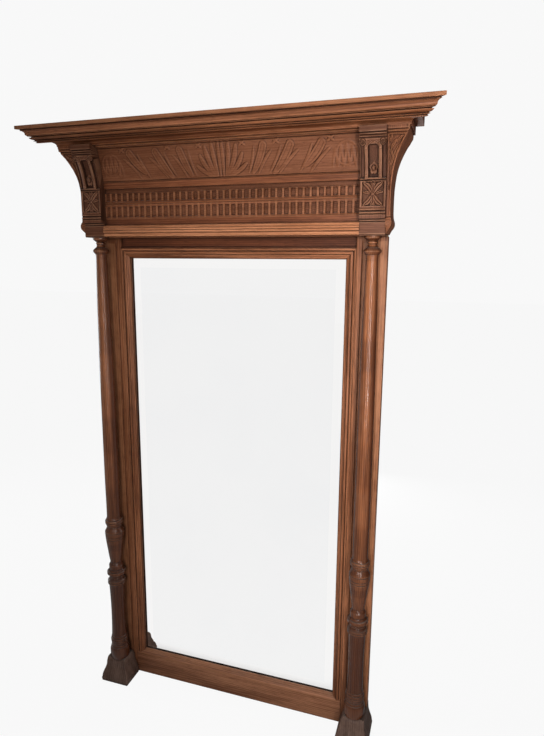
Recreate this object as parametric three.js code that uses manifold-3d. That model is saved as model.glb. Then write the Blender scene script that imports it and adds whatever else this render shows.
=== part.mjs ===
// Pier mirror in waxed oak: a tall mirror plate in a jointed frame, two turned columns on flared
// feet, and a deep three-sided cornice carried by carved brackets.
// Millimetres, +Z up, +X to the viewer's right, the front faces -Y, the origin is the middle of the
// floor footprint. Depths are written as "out", the distance in front of the wall plane.
import * as THREE from 'three';
import { mergeVertices } from 'three/addons/utils/BufferGeometryUtils.js';
import Module from 'manifold-3d';

const wasm = await Module();
wasm.setup();

// ---------------------------------------------------------------- driving dimensions
const gap = 0.3; // joint line between neighbouring pieces
const overcut = 1; // how far a cutting tool runs past the face it opens

// mirror plate and what holds it
const sightWidth = 742;
const sightHeight = 1500;
const sightBottom = 104;
const rebateDepth = 10; // how far the rebate reaches behind the moulding
const plateClearance = 1; // between the plate's edge and the rebate
const plateThickness = 6;
const plateBevelWidth = 30;
const plateEdgeThickness = 3.5;
const backboardThickness = 8;
const backboardRecess = 1.7; // backboards lie this far in front of the wall plane
const backboardCount = 3;

// frame
const frameThickness = 34;
const innerMouldingWidth = 32;
const mouldingProud = 1; // the reeded moulding stands this far in front of the stiles
const stileWidth = 91.5;
const railFloorGap = 5;
const railChamfer = 8;
const topRailHeight = 33.7;
const topRailThickness = 24;
const tenonLength = 40;
const tenonThickness = 11;
const tenonShoulder = 5;
const tenonRoot = 10; // how far a tenon runs back into its own rail
const tenonBack = 3.65; // tenon's back face, in front of the wall plane

// columns and feet
const columnRadius = 36; // widest ring
const columnClearance = 0.5; // widest ring to the frame
const columnInset = 38.5; // column axis from the stile's outer edge
const columnSides = 24;
const spigotRadius = 11;
const spigotLength = 22;
const footHeight = 91;
const footLip = 2; // the foot's top stands this far outside the stile
const footFlare = 15.5;
const footFrontSetback = 7;
const footSoleHeight = 16;

// entablature: "projection" is measured from the front of the carcass
const carcassLead = 7.5; // carcass front, ahead of the column axis
const carcassBoard = 18;
const consoleWidth = 72;
const blockHeight = 44.7;
const blockProjection = 25;
const consoleHeight = 210.4;
const consoleProjection = 75;
const capHeight = 24.7;
const capProjection = 81;
const channelWidth = 34;
const channelDepth = 13;
const channelEdge = 12; // plain wood left above the channel
const channelHeight = 106;
const rosetteRadius = 14;
const rosetteDepth = 7;
const rosetteRelief = 5; // height of the petals on it
const rosettePlace = 0.6; // share of the channel's height below its top
const ledgeDrop = 2.7; // shadow gap under the ledge
const ledgeHeight = 34.7;
const ledgeProjection = 29;
const plainBandHeight = 22;
const plainBandProjection = 10;
const lowerFluteHeight = 44;
const upperFluteHeight = 43;
const fluteCount = 40;
const fluteDepth = 6;
const fluteFillet = 8;
const beadHeight = 6;
const beadProjection = 13;
const filletRailHeight = 19;
const filletRailProjection = 16;
const panelProjection = 44;
const topFilletHeight = 4.1;
const topFilletProjection = 50;
const sideBracketDrop = 4.7; // its foot stands this far above the entablature's base
const sideBracketFoot = 2.5; // thickness at its foot
const sideBracketLowProjection = 10;
const sideBracketHighProjection = 65;
const coronaHeight = 22.7;
const coronaBackProjection = 38;
const coronaProjection = 122;
const crownHeight = 28.3;
const crownBackProjection = 88;
const crownProjection = 150;
const bearingLip = 5; // the bearing board's ends, past the side brackets' tops
const dustBoardThickness = 9;
const corniceSideThickness = 18;
const corniceSideDrop = 3; // below the crown's top
const cornerRun = 80; // mitre line of the cornice, in from the brackets' outer faces

// fixings
const pegRadius = 5;
const pegLength = 30;
const pegInset = 18; // peg axis from the stile's outer edge
const screwRadius = 2;
const screwHeadRadius = 4;
const screwLength = 13;
const wallPlateWidth = 60;
const wallPlateHeight = 34;
const wallPlateThickness = 2.5;
const wallPlateDrop = 12;
const glueBlockLeg = 22;
const glueBlockLength = 60;
const glueBlockCount = 3;

// ---------------------------------------------------------------- places worked out from them
const sightHalf = sightWidth / 2;
const sightTop = sightBottom + sightHeight;
const plateHalf = sightHalf + rebateDepth - plateClearance;
const plateFront = backboardRecess + backboardThickness + gap + plateThickness;
const rebateFront = plateFront + gap;
const mouldingOuter = sightHalf + innerMouldingWidth;
const stileInner = mouldingOuter + gap;
const stileOuter = mouldingOuter + stileWidth;
const baseZ = sightTop + innerMouldingWidth + gap + topRailHeight + gap; // top of the stiles
const columnX = stileOuter - columnInset;
const columnOut = frameThickness + columnRadius + columnClearance;
const carcassFront = columnOut + carcassLead;
const carvingBack = carcassFront + gap; // where everything planted on the carcass starts
const crownFront = carcassFront + crownProjection;
const wallY = crownFront / 2;
const consoleInner = columnX - consoleWidth / 2;
const consoleOuter = columnX + consoleWidth / 2;
const friezeHalf = consoleInner - gap;
const blockZ = baseZ + gap;
const consoleZ = blockZ + blockHeight + gap;
const capZ = consoleZ + consoleHeight + gap;
const capTopZ = capZ + capHeight;
const coronaZ = capTopZ + gap;
const crownZ = coronaZ + coronaHeight + gap;
const cornerX = consoleOuter - cornerRun;
const ledgeZ = blockZ + ledgeDrop;
const plainBandZ = ledgeZ + ledgeHeight + gap;
const lowerFluteZ = plainBandZ + plainBandHeight;
const beadZ = lowerFluteZ + lowerFluteHeight;
const upperFluteZ = beadZ + beadHeight;
const filletRailZ = upperFluteZ + upperFluteHeight;
const panelZ = filletRailZ + filletRailHeight + gap;
const topFilletZ = capTopZ - topFilletHeight;
const sides = [{ name: 'left', sign: -1 }, { name: 'right', sign: 1 }];

// ---------------------------------------------------------------- materials
const finish = (color, roughness, metalness = 0) =>
  new THREE.MeshStandardMaterial({ color, roughness, metalness });
const oak = () => finish(0x7a4a2e, 0.5);
const carvedOak = () => finish(0x7e5440, 0.6);
const darkOak = () => finish(0x4f2c1a, 0.55);
const rawPine = () => finish(0xb08a5a, 0.8);
const silvered = () => finish(0xe6e8e8, 0.04, 1);
const steel = () => finish(0x8c8a86, 0.4, 1);
const brass = () => finish(0xa8843c, 0.35, 1);

// ---------------------------------------------------------------- ways of making a piece
const assembly = new THREE.Group();

function add(name, geometry, material) {
  const mesh = new THREE.Mesh(geometry, material);
  mesh.name = name;
  assembly.add(mesh);
}

// Extrudes a closed [u, v] profile one unit deep and moves every point by place(u, v, w).
function sweep(profile, place) {
  const outline = new THREE.Shape(profile.map(([u, v]) => new THREE.Vector2(u, v)));
  const geometry = new THREE.ExtrudeGeometry(outline, { depth: 1, bevelEnabled: false });
  const position = geometry.getAttribute('position');
  for (let i = 0; i < position.count; i += 1) {
    const moved = place(position.getX(i), position.getY(i), position.getZ(i));
    position.setXYZ(i, moved[0], moved[1], moved[2]);
  }
  geometry.deleteAttribute('normal');
  geometry.deleteAttribute('uv');
  return facingOut(mergeVertices(geometry));
}

// Turns every triangle round when a mirrored or reversed map has left the skin inside out.
function facingOut(geometry) {
  const position = geometry.getAttribute('position');
  const index = geometry.getIndex();
  const corner = [0, 1, 2].map(() => new THREE.Vector3());
  let volume = 0;
  for (let i = 0; i < index.count; i += 3) {
    corner.forEach((point, k) => point.fromBufferAttribute(position, index.getX(i + k)));
    volume += corner[0].dot(corner[1].cross(corner[2]));
  }
  if (volume < 0) index.array.reverse();
  return geometry;
}

// A run along X of an [out, z] profile. right(out) and left(out) give where each end is cut.
function runAcross(profile, right, left) {
  return sweep(profile, (out, z, w) => [right(out) + w * (left(out) - right(out)), wallY - out, z]);
}

const straightRun = (profile, xLow, xHigh) => runAcross(profile, () => xHigh, () => xLow);

// A three-sided moulding's front run, mitred where x = out + corner.
function mitredFront(profile, corner) {
  const end = (out) => out + corner - gap * Math.SQRT2;
  return runAcross(profile, end, (out) => -end(out));
}

// A box between two x, two outs and two heights.
function board(xLow, xHigh, outLow, outHigh, zLow, zHigh) {
  const geometry = new THREE.BoxGeometry(xHigh - xLow, outHigh - outLow, zHigh - zLow);
  return geometry.translate((xLow + xHigh) / 2, wallY - (outLow + outHigh) / 2, (zLow + zHigh) / 2);
}

// The same box on the left or right: near and far are distances from the centre line.
function sideBoard(sign, near, far, outLow, outHigh, zLow, zHigh) {
  const [xLow, xHigh] = sign > 0 ? [near, far] : [-far, -near];
  return board(xLow, xHigh, outLow, outHigh, zLow, zHigh);
}

// A section drawn in a unit square, stretched between two outs and two heights.
const stretched = (shares, outLow, outHigh, zLow, zHigh) => shares.map(
  ([u, v]) => [outLow + u * (outHigh - outLow), zLow + v * (zHigh - zLow)]);

// Rectangles {z, xLow, xHigh, outLow, outHigh} stacked from the bottom up and skinned.
function loft(levels) {
  const corners = levels.flatMap(({ z, xLow, xHigh, outLow, outHigh }) => [
    xLow, wallY - outHigh, z,
    xHigh, wallY - outHigh, z,
    xHigh, wallY - outLow, z,
    xLow, wallY - outLow, z,
  ]);
  const faces = [0, 2, 1, 0, 3, 2];
  for (let level = 0; level < levels.length - 1; level += 1) {
    for (let side = 0; side < 4; side += 1) {
      const a = level * 4 + side;
      const b = level * 4 + ((side + 1) % 4);
      faces.push(a, b, b + 4, a, b + 4, a + 4);
    }
  }
  const top = (levels.length - 1) * 4;
  faces.push(top, top + 1, top + 2, top, top + 2, top + 3);
  return skin(corners, faces);
}

function skin(corners, faces) {
  const geometry = new THREE.BufferGeometry();
  geometry.setAttribute('position', new THREE.Float32BufferAttribute(corners, 3));
  geometry.setIndex(faces);
  return facingOut(geometry);
}

// A turned piece from a [radius, z] profile that starts and ends on the axis.
function turned(profile, x, out, segments = columnSides) {
  const points = profile.map(([radius, z]) => new THREE.Vector2(radius, z));
  return new THREE.LatheGeometry(points, segments)
    .rotateX(Math.PI / 2)
    .translate(x, wallY - out, 0);
}

// A plain round rod standing upright.
const uprightRod = (radius, x, out, zLow, zHigh, segments = 12) =>
  turned([[0, zLow], [radius, zLow], [radius, zHigh], [0, zHigh]], x, out, segments);

// A turned piece that points out from the wall, from a [radius, out] profile.
function rodFromWall(profile, x, z, segments = 12) {
  const points = profile.map(([radius, out]) => new THREE.Vector2(radius, out));
  return new THREE.LatheGeometry(points, segments)
    .rotateX(Math.PI)
    .translate(x, wallY, z);
}

function toSolid(geometry) {
  const bare = geometry.clone();
  bare.deleteAttribute('normal');
  bare.deleteAttribute('uv');
  const merged = mergeVertices(bare);
  return new wasm.Manifold(new wasm.Mesh({
    numProp: 3,
    vertProperties: new Float32Array(merged.getAttribute('position').array),
    triVerts: new Uint32Array(merged.getIndex().array),
  }));
}

function fromSolid(solid) {
  const { vertProperties, triVerts } = solid.getMesh();
  return skin(vertProperties, Array.from(triVerts));
}

const cut = (body, tools) =>
  fromSolid(tools.reduce((solid, tool) => solid.subtract(toSolid(tool)), toSolid(body)));
const joined = (bodies) =>
  fromSolid(bodies.map(toSolid).reduce((whole, body) => whole.add(body)));

// ---------------------------------------------------------------- mirror plate and backboards
function mirrorPlate() {
  const plateBack = plateFront - plateThickness;
  const zLow = sightBottom - rebateDepth + plateClearance;
  const zHigh = sightTop + rebateDepth - plateClearance;
  const ring = (inset, out) => [
    [-plateHalf + inset, zLow + inset, out], [plateHalf - inset, zLow + inset, out],
    [plateHalf - inset, zHigh - inset, out], [-plateHalf + inset, zHigh - inset, out],
  ];
  const bevelInset = plateBevelWidth + rebateDepth - plateClearance;
  const rings = [ring(0, plateBack), ring(0, plateBack + plateEdgeThickness), ring(bevelInset, plateFront)];
  const corners = rings.flat().flatMap(([x, z, out]) => [x, wallY - out, z]);
  const faces = [0, 2, 1, 0, 3, 2, 8, 9, 10, 8, 10, 11];
  for (const lower of [0, 4]) {
    for (let side = 0; side < 4; side += 1) {
      const a = lower + side;
      const b = lower + ((side + 1) % 4);
      faces.push(a, b, b + 4, a, b + 4, a + 4);
    }
  }
  return skin(corners, faces);
}

function backboards() {
  const zLow = sightBottom - rebateDepth + plateClearance;
  const height = (sightHeight + 2 * (rebateDepth - plateClearance)) / backboardCount;
  const outHigh = backboardRecess + backboardThickness;
  for (let i = 0; i < backboardCount; i += 1) {
    const bottom = zLow + i * height;
    const panel = board(-plateHalf, plateHalf, backboardRecess, outHigh, bottom, bottom + height - gap);
    add(`backboard_${i + 1}`, panel, rawPine());
  }
}

// ---------------------------------------------------------------- frame round the plate
// Section of the reeded moulding: s runs outwards from the sight edge, out runs forwards.
function innerMouldingSection() {
  const beads = [
    [0, 0], [0, 0.27], [0.16, 0.57], [0.23, 0.6], [0.28, 0.76], [0.37, 0.84], [0.47, 0.76],
    [0.52, 0.65], [0.56, 0.84], [0.67, 0.95], [0.78, 0.87], [0.81, 0.76], [0.86, 0.97], [1, 1],
  ];
  const face = beads.map(([s, out]) => [
    s * innerMouldingWidth, rebateFront + out * (frameThickness + mouldingProud - rebateFront),
  ]);
  const back = rebateDepth + gap;
  return [...face, [innerMouldingWidth, 0], [back, 0], [back, rebateFront]];
}

function innerMouldings() {
  const section = innerMouldingSection();
  const mitre = gap * Math.SQRT2;
  const zLow = sightBottom + gap;
  for (const { name, sign } of sides) {
    const upright = sweep(section, (s, out, w) => [
      sign * (sightHalf + s), wallY - out, zLow + w * (sightTop + s - zLow),
    ]);
    add(`inner_moulding_${name}`, upright, oak());
  }
  const reach = (s) => sightHalf + s - mitre;
  const head = sweep(section, (s, out, w) => [reach(s) * (2 * w - 1), wallY - out, sightTop + s]);
  add('inner_moulding_top', head, oak());
}

function bottomRail() {
  const top = sightBottom;
  const rebate = top - rebateDepth - gap;
  const section = [
    [0, railFloorGap], [frameThickness, railFloorGap], [frameThickness, top - railChamfer],
    [frameThickness - railChamfer, top], [rebateFront, top], [rebateFront, rebate], [0, rebate],
  ];
  const rail = straightRun(section, -mouldingOuter, mouldingOuter);
  return joined([rail, ...tenons(railFloorGap, rebate, 0)]);
}

function topRail() {
  const zLow = sightTop + innerMouldingWidth + gap;
  const rail = board(-mouldingOuter, mouldingOuter, 0, topRailThickness, zLow, zLow + topRailHeight);
  return joined([rail, ...tenons(zLow, zLow + topRailHeight, 0)]);
}

// The two tenons of a rail between two heights, or the mortises they go into when clear is over 0.
function tenons(zLow, zHigh, clear) {
  return sides.map(({ sign }) => sideBoard(
    sign,
    mouldingOuter - tenonRoot,
    mouldingOuter + tenonLength + clear,
    tenonBack - clear,
    tenonBack + tenonThickness + clear,
    zLow + tenonShoulder - clear,
    zHigh - tenonShoulder + clear,
  ));
}

function stile(sign) {
  const upright = sideBoard(sign, stileInner, stileOuter, 0, frameThickness, 0, baseZ);
  const railTop = sightBottom - rebateDepth - gap;
  const headZ = sightTop + innerMouldingWidth + gap;
  const mortises = [
    ...tenons(railFloorGap, railTop, gap),
    ...tenons(headZ, headZ + topRailHeight, gap),
  ];
  return cut(upright, [...mortises, peg(sign, pegRadius + gap, pegLength / 2 + gap)]);
}

// The peg that locates the entablature on a stile, or its hole when made fatter and longer.
function peg(sign, radius, halfLength) {
  const x = sign * (stileOuter - pegInset);
  const middle = baseZ + gap / 2;
  return uprightRod(radius, x, carcassBoard / 2, middle - halfLength, middle + halfLength, 8);
}

// ---------------------------------------------------------------- columns and feet
// Turned profile [radius, height above the foot], stretched to the column's real size.
function columnProfile() {
  const turning = [
    [33, 0], [35, 8], [36, 18], [36, 36], [33.5, 42], [29.9, 57], [31.5, 68], [32, 77], [30, 84],
    [27.4, 97], [25.9, 149], [25.4, 203], [27, 268], [28.2, 297], [29, 306], [33, 311], [33, 323],
    [28, 327], [25.2, 331], [28, 343], [34.5, 350], [34.5, 358], [28, 365], [25.7, 369],
    [25.8, 385], [22, 392], [20.5, 397], [24.7, 426], [28.6, 458], [32.7, 486], [33.7, 496],
    [34.9, 513], [34.9, 521], [29, 531], [27.2, 537], [29, 545], [32.7, 553], [32.7, 562],
    [26, 573], [23.9, 579], [25.7, 640], [28, 718], [27.4, 870], [28, 1018], [23.7, 1215],
    [20.9, 1405], [17.3, 1499], [17.6, 1513], [18.8, 1523], [25.5, 1528], [26.9, 1534],
    [25.5, 1540], [14.7, 1553], [12, 1562], [13.4, 1567], [23, 1573], [25, 1576], [25, 1580],
  ];
  const widest = Math.max(...turning.map(([radius]) => radius));
  const highest = Math.max(...turning.map(([, z]) => z));
  const foot = footHeight + gap;
  return turning.map(([radius, z]) => [
    (radius * columnRadius) / widest, foot + (z * (baseZ - foot)) / highest,
  ]);
}

function column(sign) {
  const body = columnProfile();
  const bottom = body[0][1];
  const top = body[body.length - 1][1];
  const profile = [
    [0, bottom - spigotLength], [spigotRadius, bottom - spigotLength], [spigotRadius, bottom],
    ...body,
    [spigotRadius, top], [spigotRadius, top + spigotLength], [0, top + spigotLength],
  ];
  return turned(profile, sign * columnX, columnOut);
}

const spigotHole = (sign, zLow, zHigh) =>
  uprightRod(spigotRadius + gap, sign * columnX, columnOut, zLow, zHigh, columnSides);

function foot(sign) {
  const steps = 6;
  const shoulder = 0.9 * footHeight;
  const levels = [{ z: 0, spread: 0.87 * footFlare }, { z: 0.8 * footSoleHeight, spread: footFlare }];
  for (let i = 0; i <= steps; i += 1) {
    const t = i / steps;
    const spread = (0.9 * footFlare * (1 + Math.cos(Math.PI * t))) / 2;
    levels.push({ z: footSoleHeight + t * (shoulder - footSoleHeight), spread });
  }
  levels.push({ z: footHeight, spread: 0 });
  const body = loft(levels.map(({ z, spread }) => {
    const half = columnInset + footLip + spread;
    return {
      z,
      xLow: sign * columnX - half,
      xHigh: sign * columnX + half,
      outLow: 0,
      outHigh: columnOut + half - footFrontSetback,
    };
  }));
  const frameNotch = sideBoard(
    sign, 0, stileOuter + gap, -overcut, frameThickness + gap, -overcut, footHeight + overcut);
  const hole = spigotHole(sign, footHeight - spigotLength - gap, footHeight + overcut);
  return cut(body, [frameNotch, hole]);
}

// ---------------------------------------------------------------- brackets over the columns
const consoleSpan = (sign) =>
  (sign > 0 ? [consoleInner, consoleOuter] : [-consoleOuter, -consoleInner]);

function consoleBlock(sign) {
  const block = sideBoard(
    sign, consoleInner, consoleOuter, frameThickness + gap, carcassFront + blockProjection,
    blockZ, blockZ + blockHeight);
  return cut(block, [spigotHole(sign, blockZ - overcut, baseZ + spigotLength + gap)]);
}

// Front face of the bracket as [out, height above its foot], leaning out towards the top.
function consoleFace() {
  const shares = [
    [0.45, 0], [0.5, 0.01], [0.5, 0.024], [0.46, 0.038], [0.485, 0.052], [0.485, 0.4],
    [0.498, 0.475], [0.53, 0.56], [0.585, 0.646], [0.665, 0.737], [0.76, 0.817], [0.866, 0.894],
    [0.96, 0.95], [1, 1],
  ];
  return stretched(shares, carvingBack, carcassFront + consoleProjection, 0, consoleHeight);
}

// How far out the bracket's face is at a height above its foot.
function consoleFaceOut(height) {
  const face = consoleFace();
  const above = Math.max(face.findIndex(([, z]) => z >= height), 1);
  const [outLow, zLow] = face[above - 1];
  const [outHigh, zHigh] = face[above];
  return outLow + ((outHigh - outLow) * (height - zLow)) / (zHigh - zLow);
}

// The floor of the upright channel sunk into the bracket's face, as [out, z].
function channelFloor() {
  const steps = 6;
  const foot = consoleHeight - channelEdge - channelHeight;
  return Array.from({ length: steps + 1 }, (_, i) => {
    const height = foot + (i / steps) * channelHeight;
    return [consoleFaceOut(height) - channelDepth, consoleZ + height];
  });
}

// A run along X that closes the channel's floor line off at one depth, behind it or in front.
function channelRun(sign, closingOut, grow) {
  const floor = channelFloor().map(([out, z]) => [out + grow, z]);
  const ends = [[closingOut, floor[floor.length - 1][1]], [closingOut, floor[0][1]]];
  const x = sign * columnX;
  return straightRun([...floor, ...ends], x - channelWidth / 2, x + channelWidth / 2);
}

function consoleBracket(sign) {
  const face = consoleFace().map(([out, z]) => [out, consoleZ + z]);
  const section = [[carvingBack, consoleZ], ...face, [carvingBack, consoleZ + consoleHeight]];
  const channel = channelRun(sign, carcassFront + capProjection, 0);
  return cut(straightRun(section, ...consoleSpan(sign)), [channel]);
}

// The flower that hangs in the channel, its back shaped to the channel's floor.
function consoleRosette(sign) {
  const height = consoleHeight - channelEdge - channelHeight * rosettePlace;
  const face = consoleFaceOut(height) - channelDepth + rosetteDepth;
  const dome = [
    [0, carvingBack], [rosetteRadius, carvingBack], [rosetteRadius, face],
    [rosetteRadius * 0.6, face + 0.6 * rosetteRelief],
    [rosetteRadius * 0.3, face + 0.4 * rosetteRelief], [0, face + rosetteRelief],
  ];
  const flower = rodFromWall(dome, sign * columnX, consoleZ + height, 16);
  return cut(flower, [channelRun(sign, 0, gap)]);
}

function consoleCap(sign) {
  const shares = [[0, 0], [0.94, 0], [0.965, 0.12], [1, 0.24], [1, 1], [0, 1]];
  const section = stretched(shares, carvingBack, carcassFront + capProjection, capZ, capTopZ);
  return straightRun(section, ...consoleSpan(sign));
}

const cornerPost = (sign) => sideBoard(
  sign, consoleInner, consoleOuter, carcassBoard + gap, carcassFront, consoleZ, capTopZ);

// Coved side bracket: [share of its lean, share of its height], with the small curl low down.
function sideBracket(sign) {
  const outline = [
    [0, 0], [0.055, 0.022], [0.11, 0.044], [0.2, 0.065], [0.255, 0.087], [0.264, 0.116],
    [0.236, 0.141], [0.19, 0.163], [0.164, 0.218], [0.155, 0.345], [0.164, 0.461], [0.2, 0.544],
    [0.245, 0.617], [0.327, 0.689], [0.436, 0.754], [0.564, 0.812], [0.709, 0.87],
    [0.855, 0.914], [0.927, 0.943], [0.982, 0.954], [1, 0.979], [1, 1],
  ];
  const near = consoleOuter + gap;
  const lowOut = carcassFront + sideBracketLowProjection;
  const highOut = carcassFront + sideBracketHighProjection;
  const levels = stretched(outline, lowOut, highOut, blockZ + sideBracketDrop, capTopZ);
  return loft(levels.map(([out, z]) => {
    const far = near + sideBracketFoot + out - lowOut;
    const [xLow, xHigh] = sign > 0 ? [near, far] : [-far, -near];
    return { z, xLow, xHigh, outLow: 0, outHigh: out };
  }));
}

// ---------------------------------------------------------------- frieze between the brackets
const friezeBoard = (projection, zLow, zHigh) =>
  board(-friezeHalf, friezeHalf, carvingBack, carcassFront + projection, zLow, zHigh);

// A moulding planted between the brackets, drawn in a unit square.
function friezeRun(shares, projection, zLow, zHigh) {
  const section = stretched(shares, carvingBack, carcassFront + projection, zLow, zHigh);
  return straightRun(section, -friezeHalf, friezeHalf);
}

// A board with upright flutes cut side by side into its face.
function flutedBand(zLow, zHigh) {
  const face = carcassFront + plainBandProjection;
  const pitch = (2 * friezeHalf) / fluteCount;
  const half = (pitch - fluteFillet) / 2;
  const outline = [[-friezeHalf, carvingBack], [friezeHalf, carvingBack], [friezeHalf, face]];
  for (let i = fluteCount - 1; i >= 0; i -= 1) {
    const middle = -friezeHalf + (i + 0.5) * pitch;
    for (const angle of [0, 45, 90, 135, 180]) {
      const turn = THREE.MathUtils.degToRad(angle);
      outline.push([middle + half * Math.cos(turn), face - fluteDepth * Math.sin(turn)]);
    }
  }
  outline.push([-friezeHalf, face]);
  return sweep(outline, (x, out, w) => [x, wallY - out, zLow + w * (zHigh - gap - zLow)]);
}

function frieze() {
  const ledge = [
    [0, 0], [0.79, 0], [0.86, 0.058], [0.86, 0.317], [0.98, 0.36], [1, 0.49], [0.93, 0.533],
    [0.965, 0.576], [0.95, 0.72], [0.88, 0.764], [0.895, 0.807], [0.84, 0.937], [0.756, 1], [0, 1],
  ];
  const bead = [[0, 0], [0.84, 0], [1, 0.32], [1, 0.68], [0.84, 1], [0, 1]];
  const filletRail = [[0, 0], [0.745, 0], [0.84, 0.16], [1, 0.84], [0.936, 1], [0, 1]];
  const panel = [[0, 0], [0.36, 0], [0.54, 0.4], [0.75, 0.72], [1, 1], [0, 1]];
  const beadTop = beadZ + beadHeight - gap;
  const railTop = filletRailZ + filletRailHeight;
  add('frieze_ledge', friezeRun(ledge, ledgeProjection, ledgeZ, ledgeZ + ledgeHeight), oak());
  add('frieze_plain_band', friezeBoard(plainBandProjection, plainBandZ, lowerFluteZ - gap), oak());
  add('fluted_band_lower', flutedBand(lowerFluteZ, beadZ), carvedOak());
  add('frieze_bead', friezeRun(bead, beadProjection, beadZ, beadTop), carvedOak());
  add('fluted_band_upper', flutedBand(upperFluteZ, filletRailZ), carvedOak());
  add('frieze_fillet_rail', friezeRun(filletRail, filletRailProjection, filletRailZ, railTop), oak());
  add('carved_panel', friezeRun(panel, panelProjection, panelZ, topFilletZ - gap), carvedOak());
  add('frieze_top_fillet', friezeBoard(topFilletProjection, topFilletZ, capTopZ), oak());
}

// ---------------------------------------------------------------- carcass inside the entablature
function carcass() {
  const back = board(-consoleOuter, consoleOuter, gap, carcassBoard, blockZ, capTopZ);
  const holes = sides.flatMap(({ sign }) => [
    peg(sign, pegRadius + gap, pegLength / 2 + gap),
    wallPlateBlank(sign, gap),
    plateScrew(sign, gap),
  ]);
  const bottomTop = blockZ + carcassBoard;
  const inside = carcassFront - carcassBoard;
  add('entablature_back_board', cut(back, holes), rawPine());
  add('entablature_bottom_board', board(
    -friezeHalf, friezeHalf, carcassBoard + gap, carcassFront, blockZ, bottomTop), oak());
  add('entablature_front_board', board(
    -friezeHalf, friezeHalf, inside, carcassFront, bottomTop + gap, capTopZ), rawPine());
  const bearingFront = carcassFront + coronaBackProjection - gap;
  const lean = sideBracketHighProjection - sideBracketLowProjection;
  const bearingHalf = consoleOuter + gap + sideBracketFoot + lean + bearingLip;
  add('cornice_bearing_board', board(
    -bearingHalf, bearingHalf, 0, bearingFront, coronaZ, coronaZ + coronaHeight), darkOak());
  glueBlocks(bottomTop + gap, inside - gap);
}

// Three-cornered blocks rubbed into the angle between the bottom board and the front board.
function glueBlocks(z, back) {
  const section = [[back, z], [back, z + glueBlockLeg], [back - glueBlockLeg, z]];
  const pitch = (2 * friezeHalf) / glueBlockCount;
  for (let i = 0; i < glueBlockCount; i += 1) {
    const middle = -friezeHalf + (i + 0.5) * pitch;
    const block = straightRun(section, middle - glueBlockLength / 2, middle + glueBlockLength / 2);
    add(`glue_block_${i + 1}`, block, rawPine());
  }
}

// ---------------------------------------------------------------- cornice
function coronaSection() {
  const shares = [
    [0, 0], [0.31, 0], [0.31, 0.2], [0.34, 0.4], [0.42, 0.54], [0.5, 0.58], [0.72, 0.5],
    [0.75, 0.27], [0.8, 0.25], [0.83, 0.33], [0.88, 0.4], [0.905, 0.485], [0.905, 0.573],
    [0.95, 0.66], [0.98, 0.79], [1, 0.88], [1, 1], [0, 1],
  ];
  const back = carcassFront + coronaBackProjection;
  const front = carcassFront + coronaProjection;
  return stretched(shares, back, front, coronaZ, coronaZ + coronaHeight);
}

function crownSection() {
  const shares = [
    [0, 0], [0.6, 0], [0.6, 0.055], [0.645, 0.09], [0.67, 0.18], [0.677, 0.327], [0.71, 0.436],
    [0.766, 0.527], [0.855, 0.554], [0.855, 0.6], [0.984, 0.6], [1, 0.654], [1, 0.965],
    [0.976, 1], [0, 1],
  ];
  const back = carcassFront + crownBackProjection;
  return stretched(shares, back, crownFront, crownZ, crownZ + crownHeight);
}

function cornice() {
  add('corona_front', mitredFront(coronaSection(), cornerX), oak());
  add('crown_front', mitredFront(crownSection(), cornerX), oak());
  const front = carcassFront + crownBackProjection - gap;
  const half = front + cornerX;
  const dustTop = crownZ + dustBoardThickness;
  const sideTop = crownZ + crownHeight - corniceSideDrop;
  add('cornice_dust_board', board(-half, half, 0, front, crownZ, dustTop), darkOak());
  for (const { name, sign } of sides) {
    add(`cornice_side_board_${name}`, sideBoard(
      sign, half - corniceSideThickness, half, 0, front, dustTop + gap, sideTop), darkOak());
  }
}

// ---------------------------------------------------------------- fixings
// A steel plate let into the back board, or its pocket when grown and open to the wall.
function wallPlateBlank(sign, grow) {
  const x = sign * columnX;
  const top = capTopZ - wallPlateDrop;
  return board(
    x - wallPlateWidth / 2 - grow,
    x + wallPlateWidth / 2 + grow,
    grow > 0 ? -overcut : gap,
    gap + wallPlateThickness + grow,
    top - wallPlateHeight - grow,
    top + grow,
  );
}

// The countersunk screw that fixes a wall plate, or its hole when grown.
function plateScrew(sign, grow) {
  const z = capTopZ - wallPlateDrop - wallPlateHeight / 2;
  const start = gap - grow;
  const neck = gap + wallPlateThickness;
  const end = gap + screwLength + grow;
  const profile = [
    [0, start], [screwHeadRadius + grow, start], [screwRadius + grow, neck],
    [screwRadius + grow, end], [0, end],
  ];
  return rodFromWall(profile, sign * columnX, z, 8);
}

const wallPlate = (sign) => cut(wallPlateBlank(sign, 0), [plateScrew(sign, gap)]);

// ---------------------------------------------------------------- the whole mirror
add('mirror_plate', mirrorPlate(), silvered());
backboards();
innerMouldings();
add('bottom_rail', bottomRail(), oak());
add('top_rail', topRail(), darkOak());
for (const { name, sign } of sides) {
  add(`stile_${name}`, stile(sign), oak());
  add(`column_${name}`, column(sign), oak());
  add(`foot_${name}`, foot(sign), darkOak());
  add(`console_block_${name}`, consoleBlock(sign), oak());
  add(`console_bracket_${name}`, consoleBracket(sign), carvedOak());
  add(`console_cap_${name}`, consoleCap(sign), oak());
  add(`console_rosette_${name}`, consoleRosette(sign), carvedOak());
  add(`corner_post_${name}`, cornerPost(sign), rawPine());
  add(`side_bracket_${name}`, sideBracket(sign), carvedOak());
  add(`locating_peg_${name}`, peg(sign, pegRadius, pegLength / 2), rawPine());
  add(`wall_plate_${name}`, wallPlate(sign), steel());
  add(`wall_plate_screw_${name}`, plateScrew(sign, 0), brass());
}
frieze();
carcass();
cornice();

export default assembly;
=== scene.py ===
"""Pier mirror in waxed oak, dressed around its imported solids.

Sizes are in millimetres and depths are written as "out", the distance in front of the wall plane,
until a body becomes a Blender mesh in metres.
"""

import logging
import math
from dataclasses import dataclass, field, replace
from enum import Enum
from typing import Callable, Sequence

import bpy
import numpy as np
from mathutils import Matrix, Vector


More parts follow.
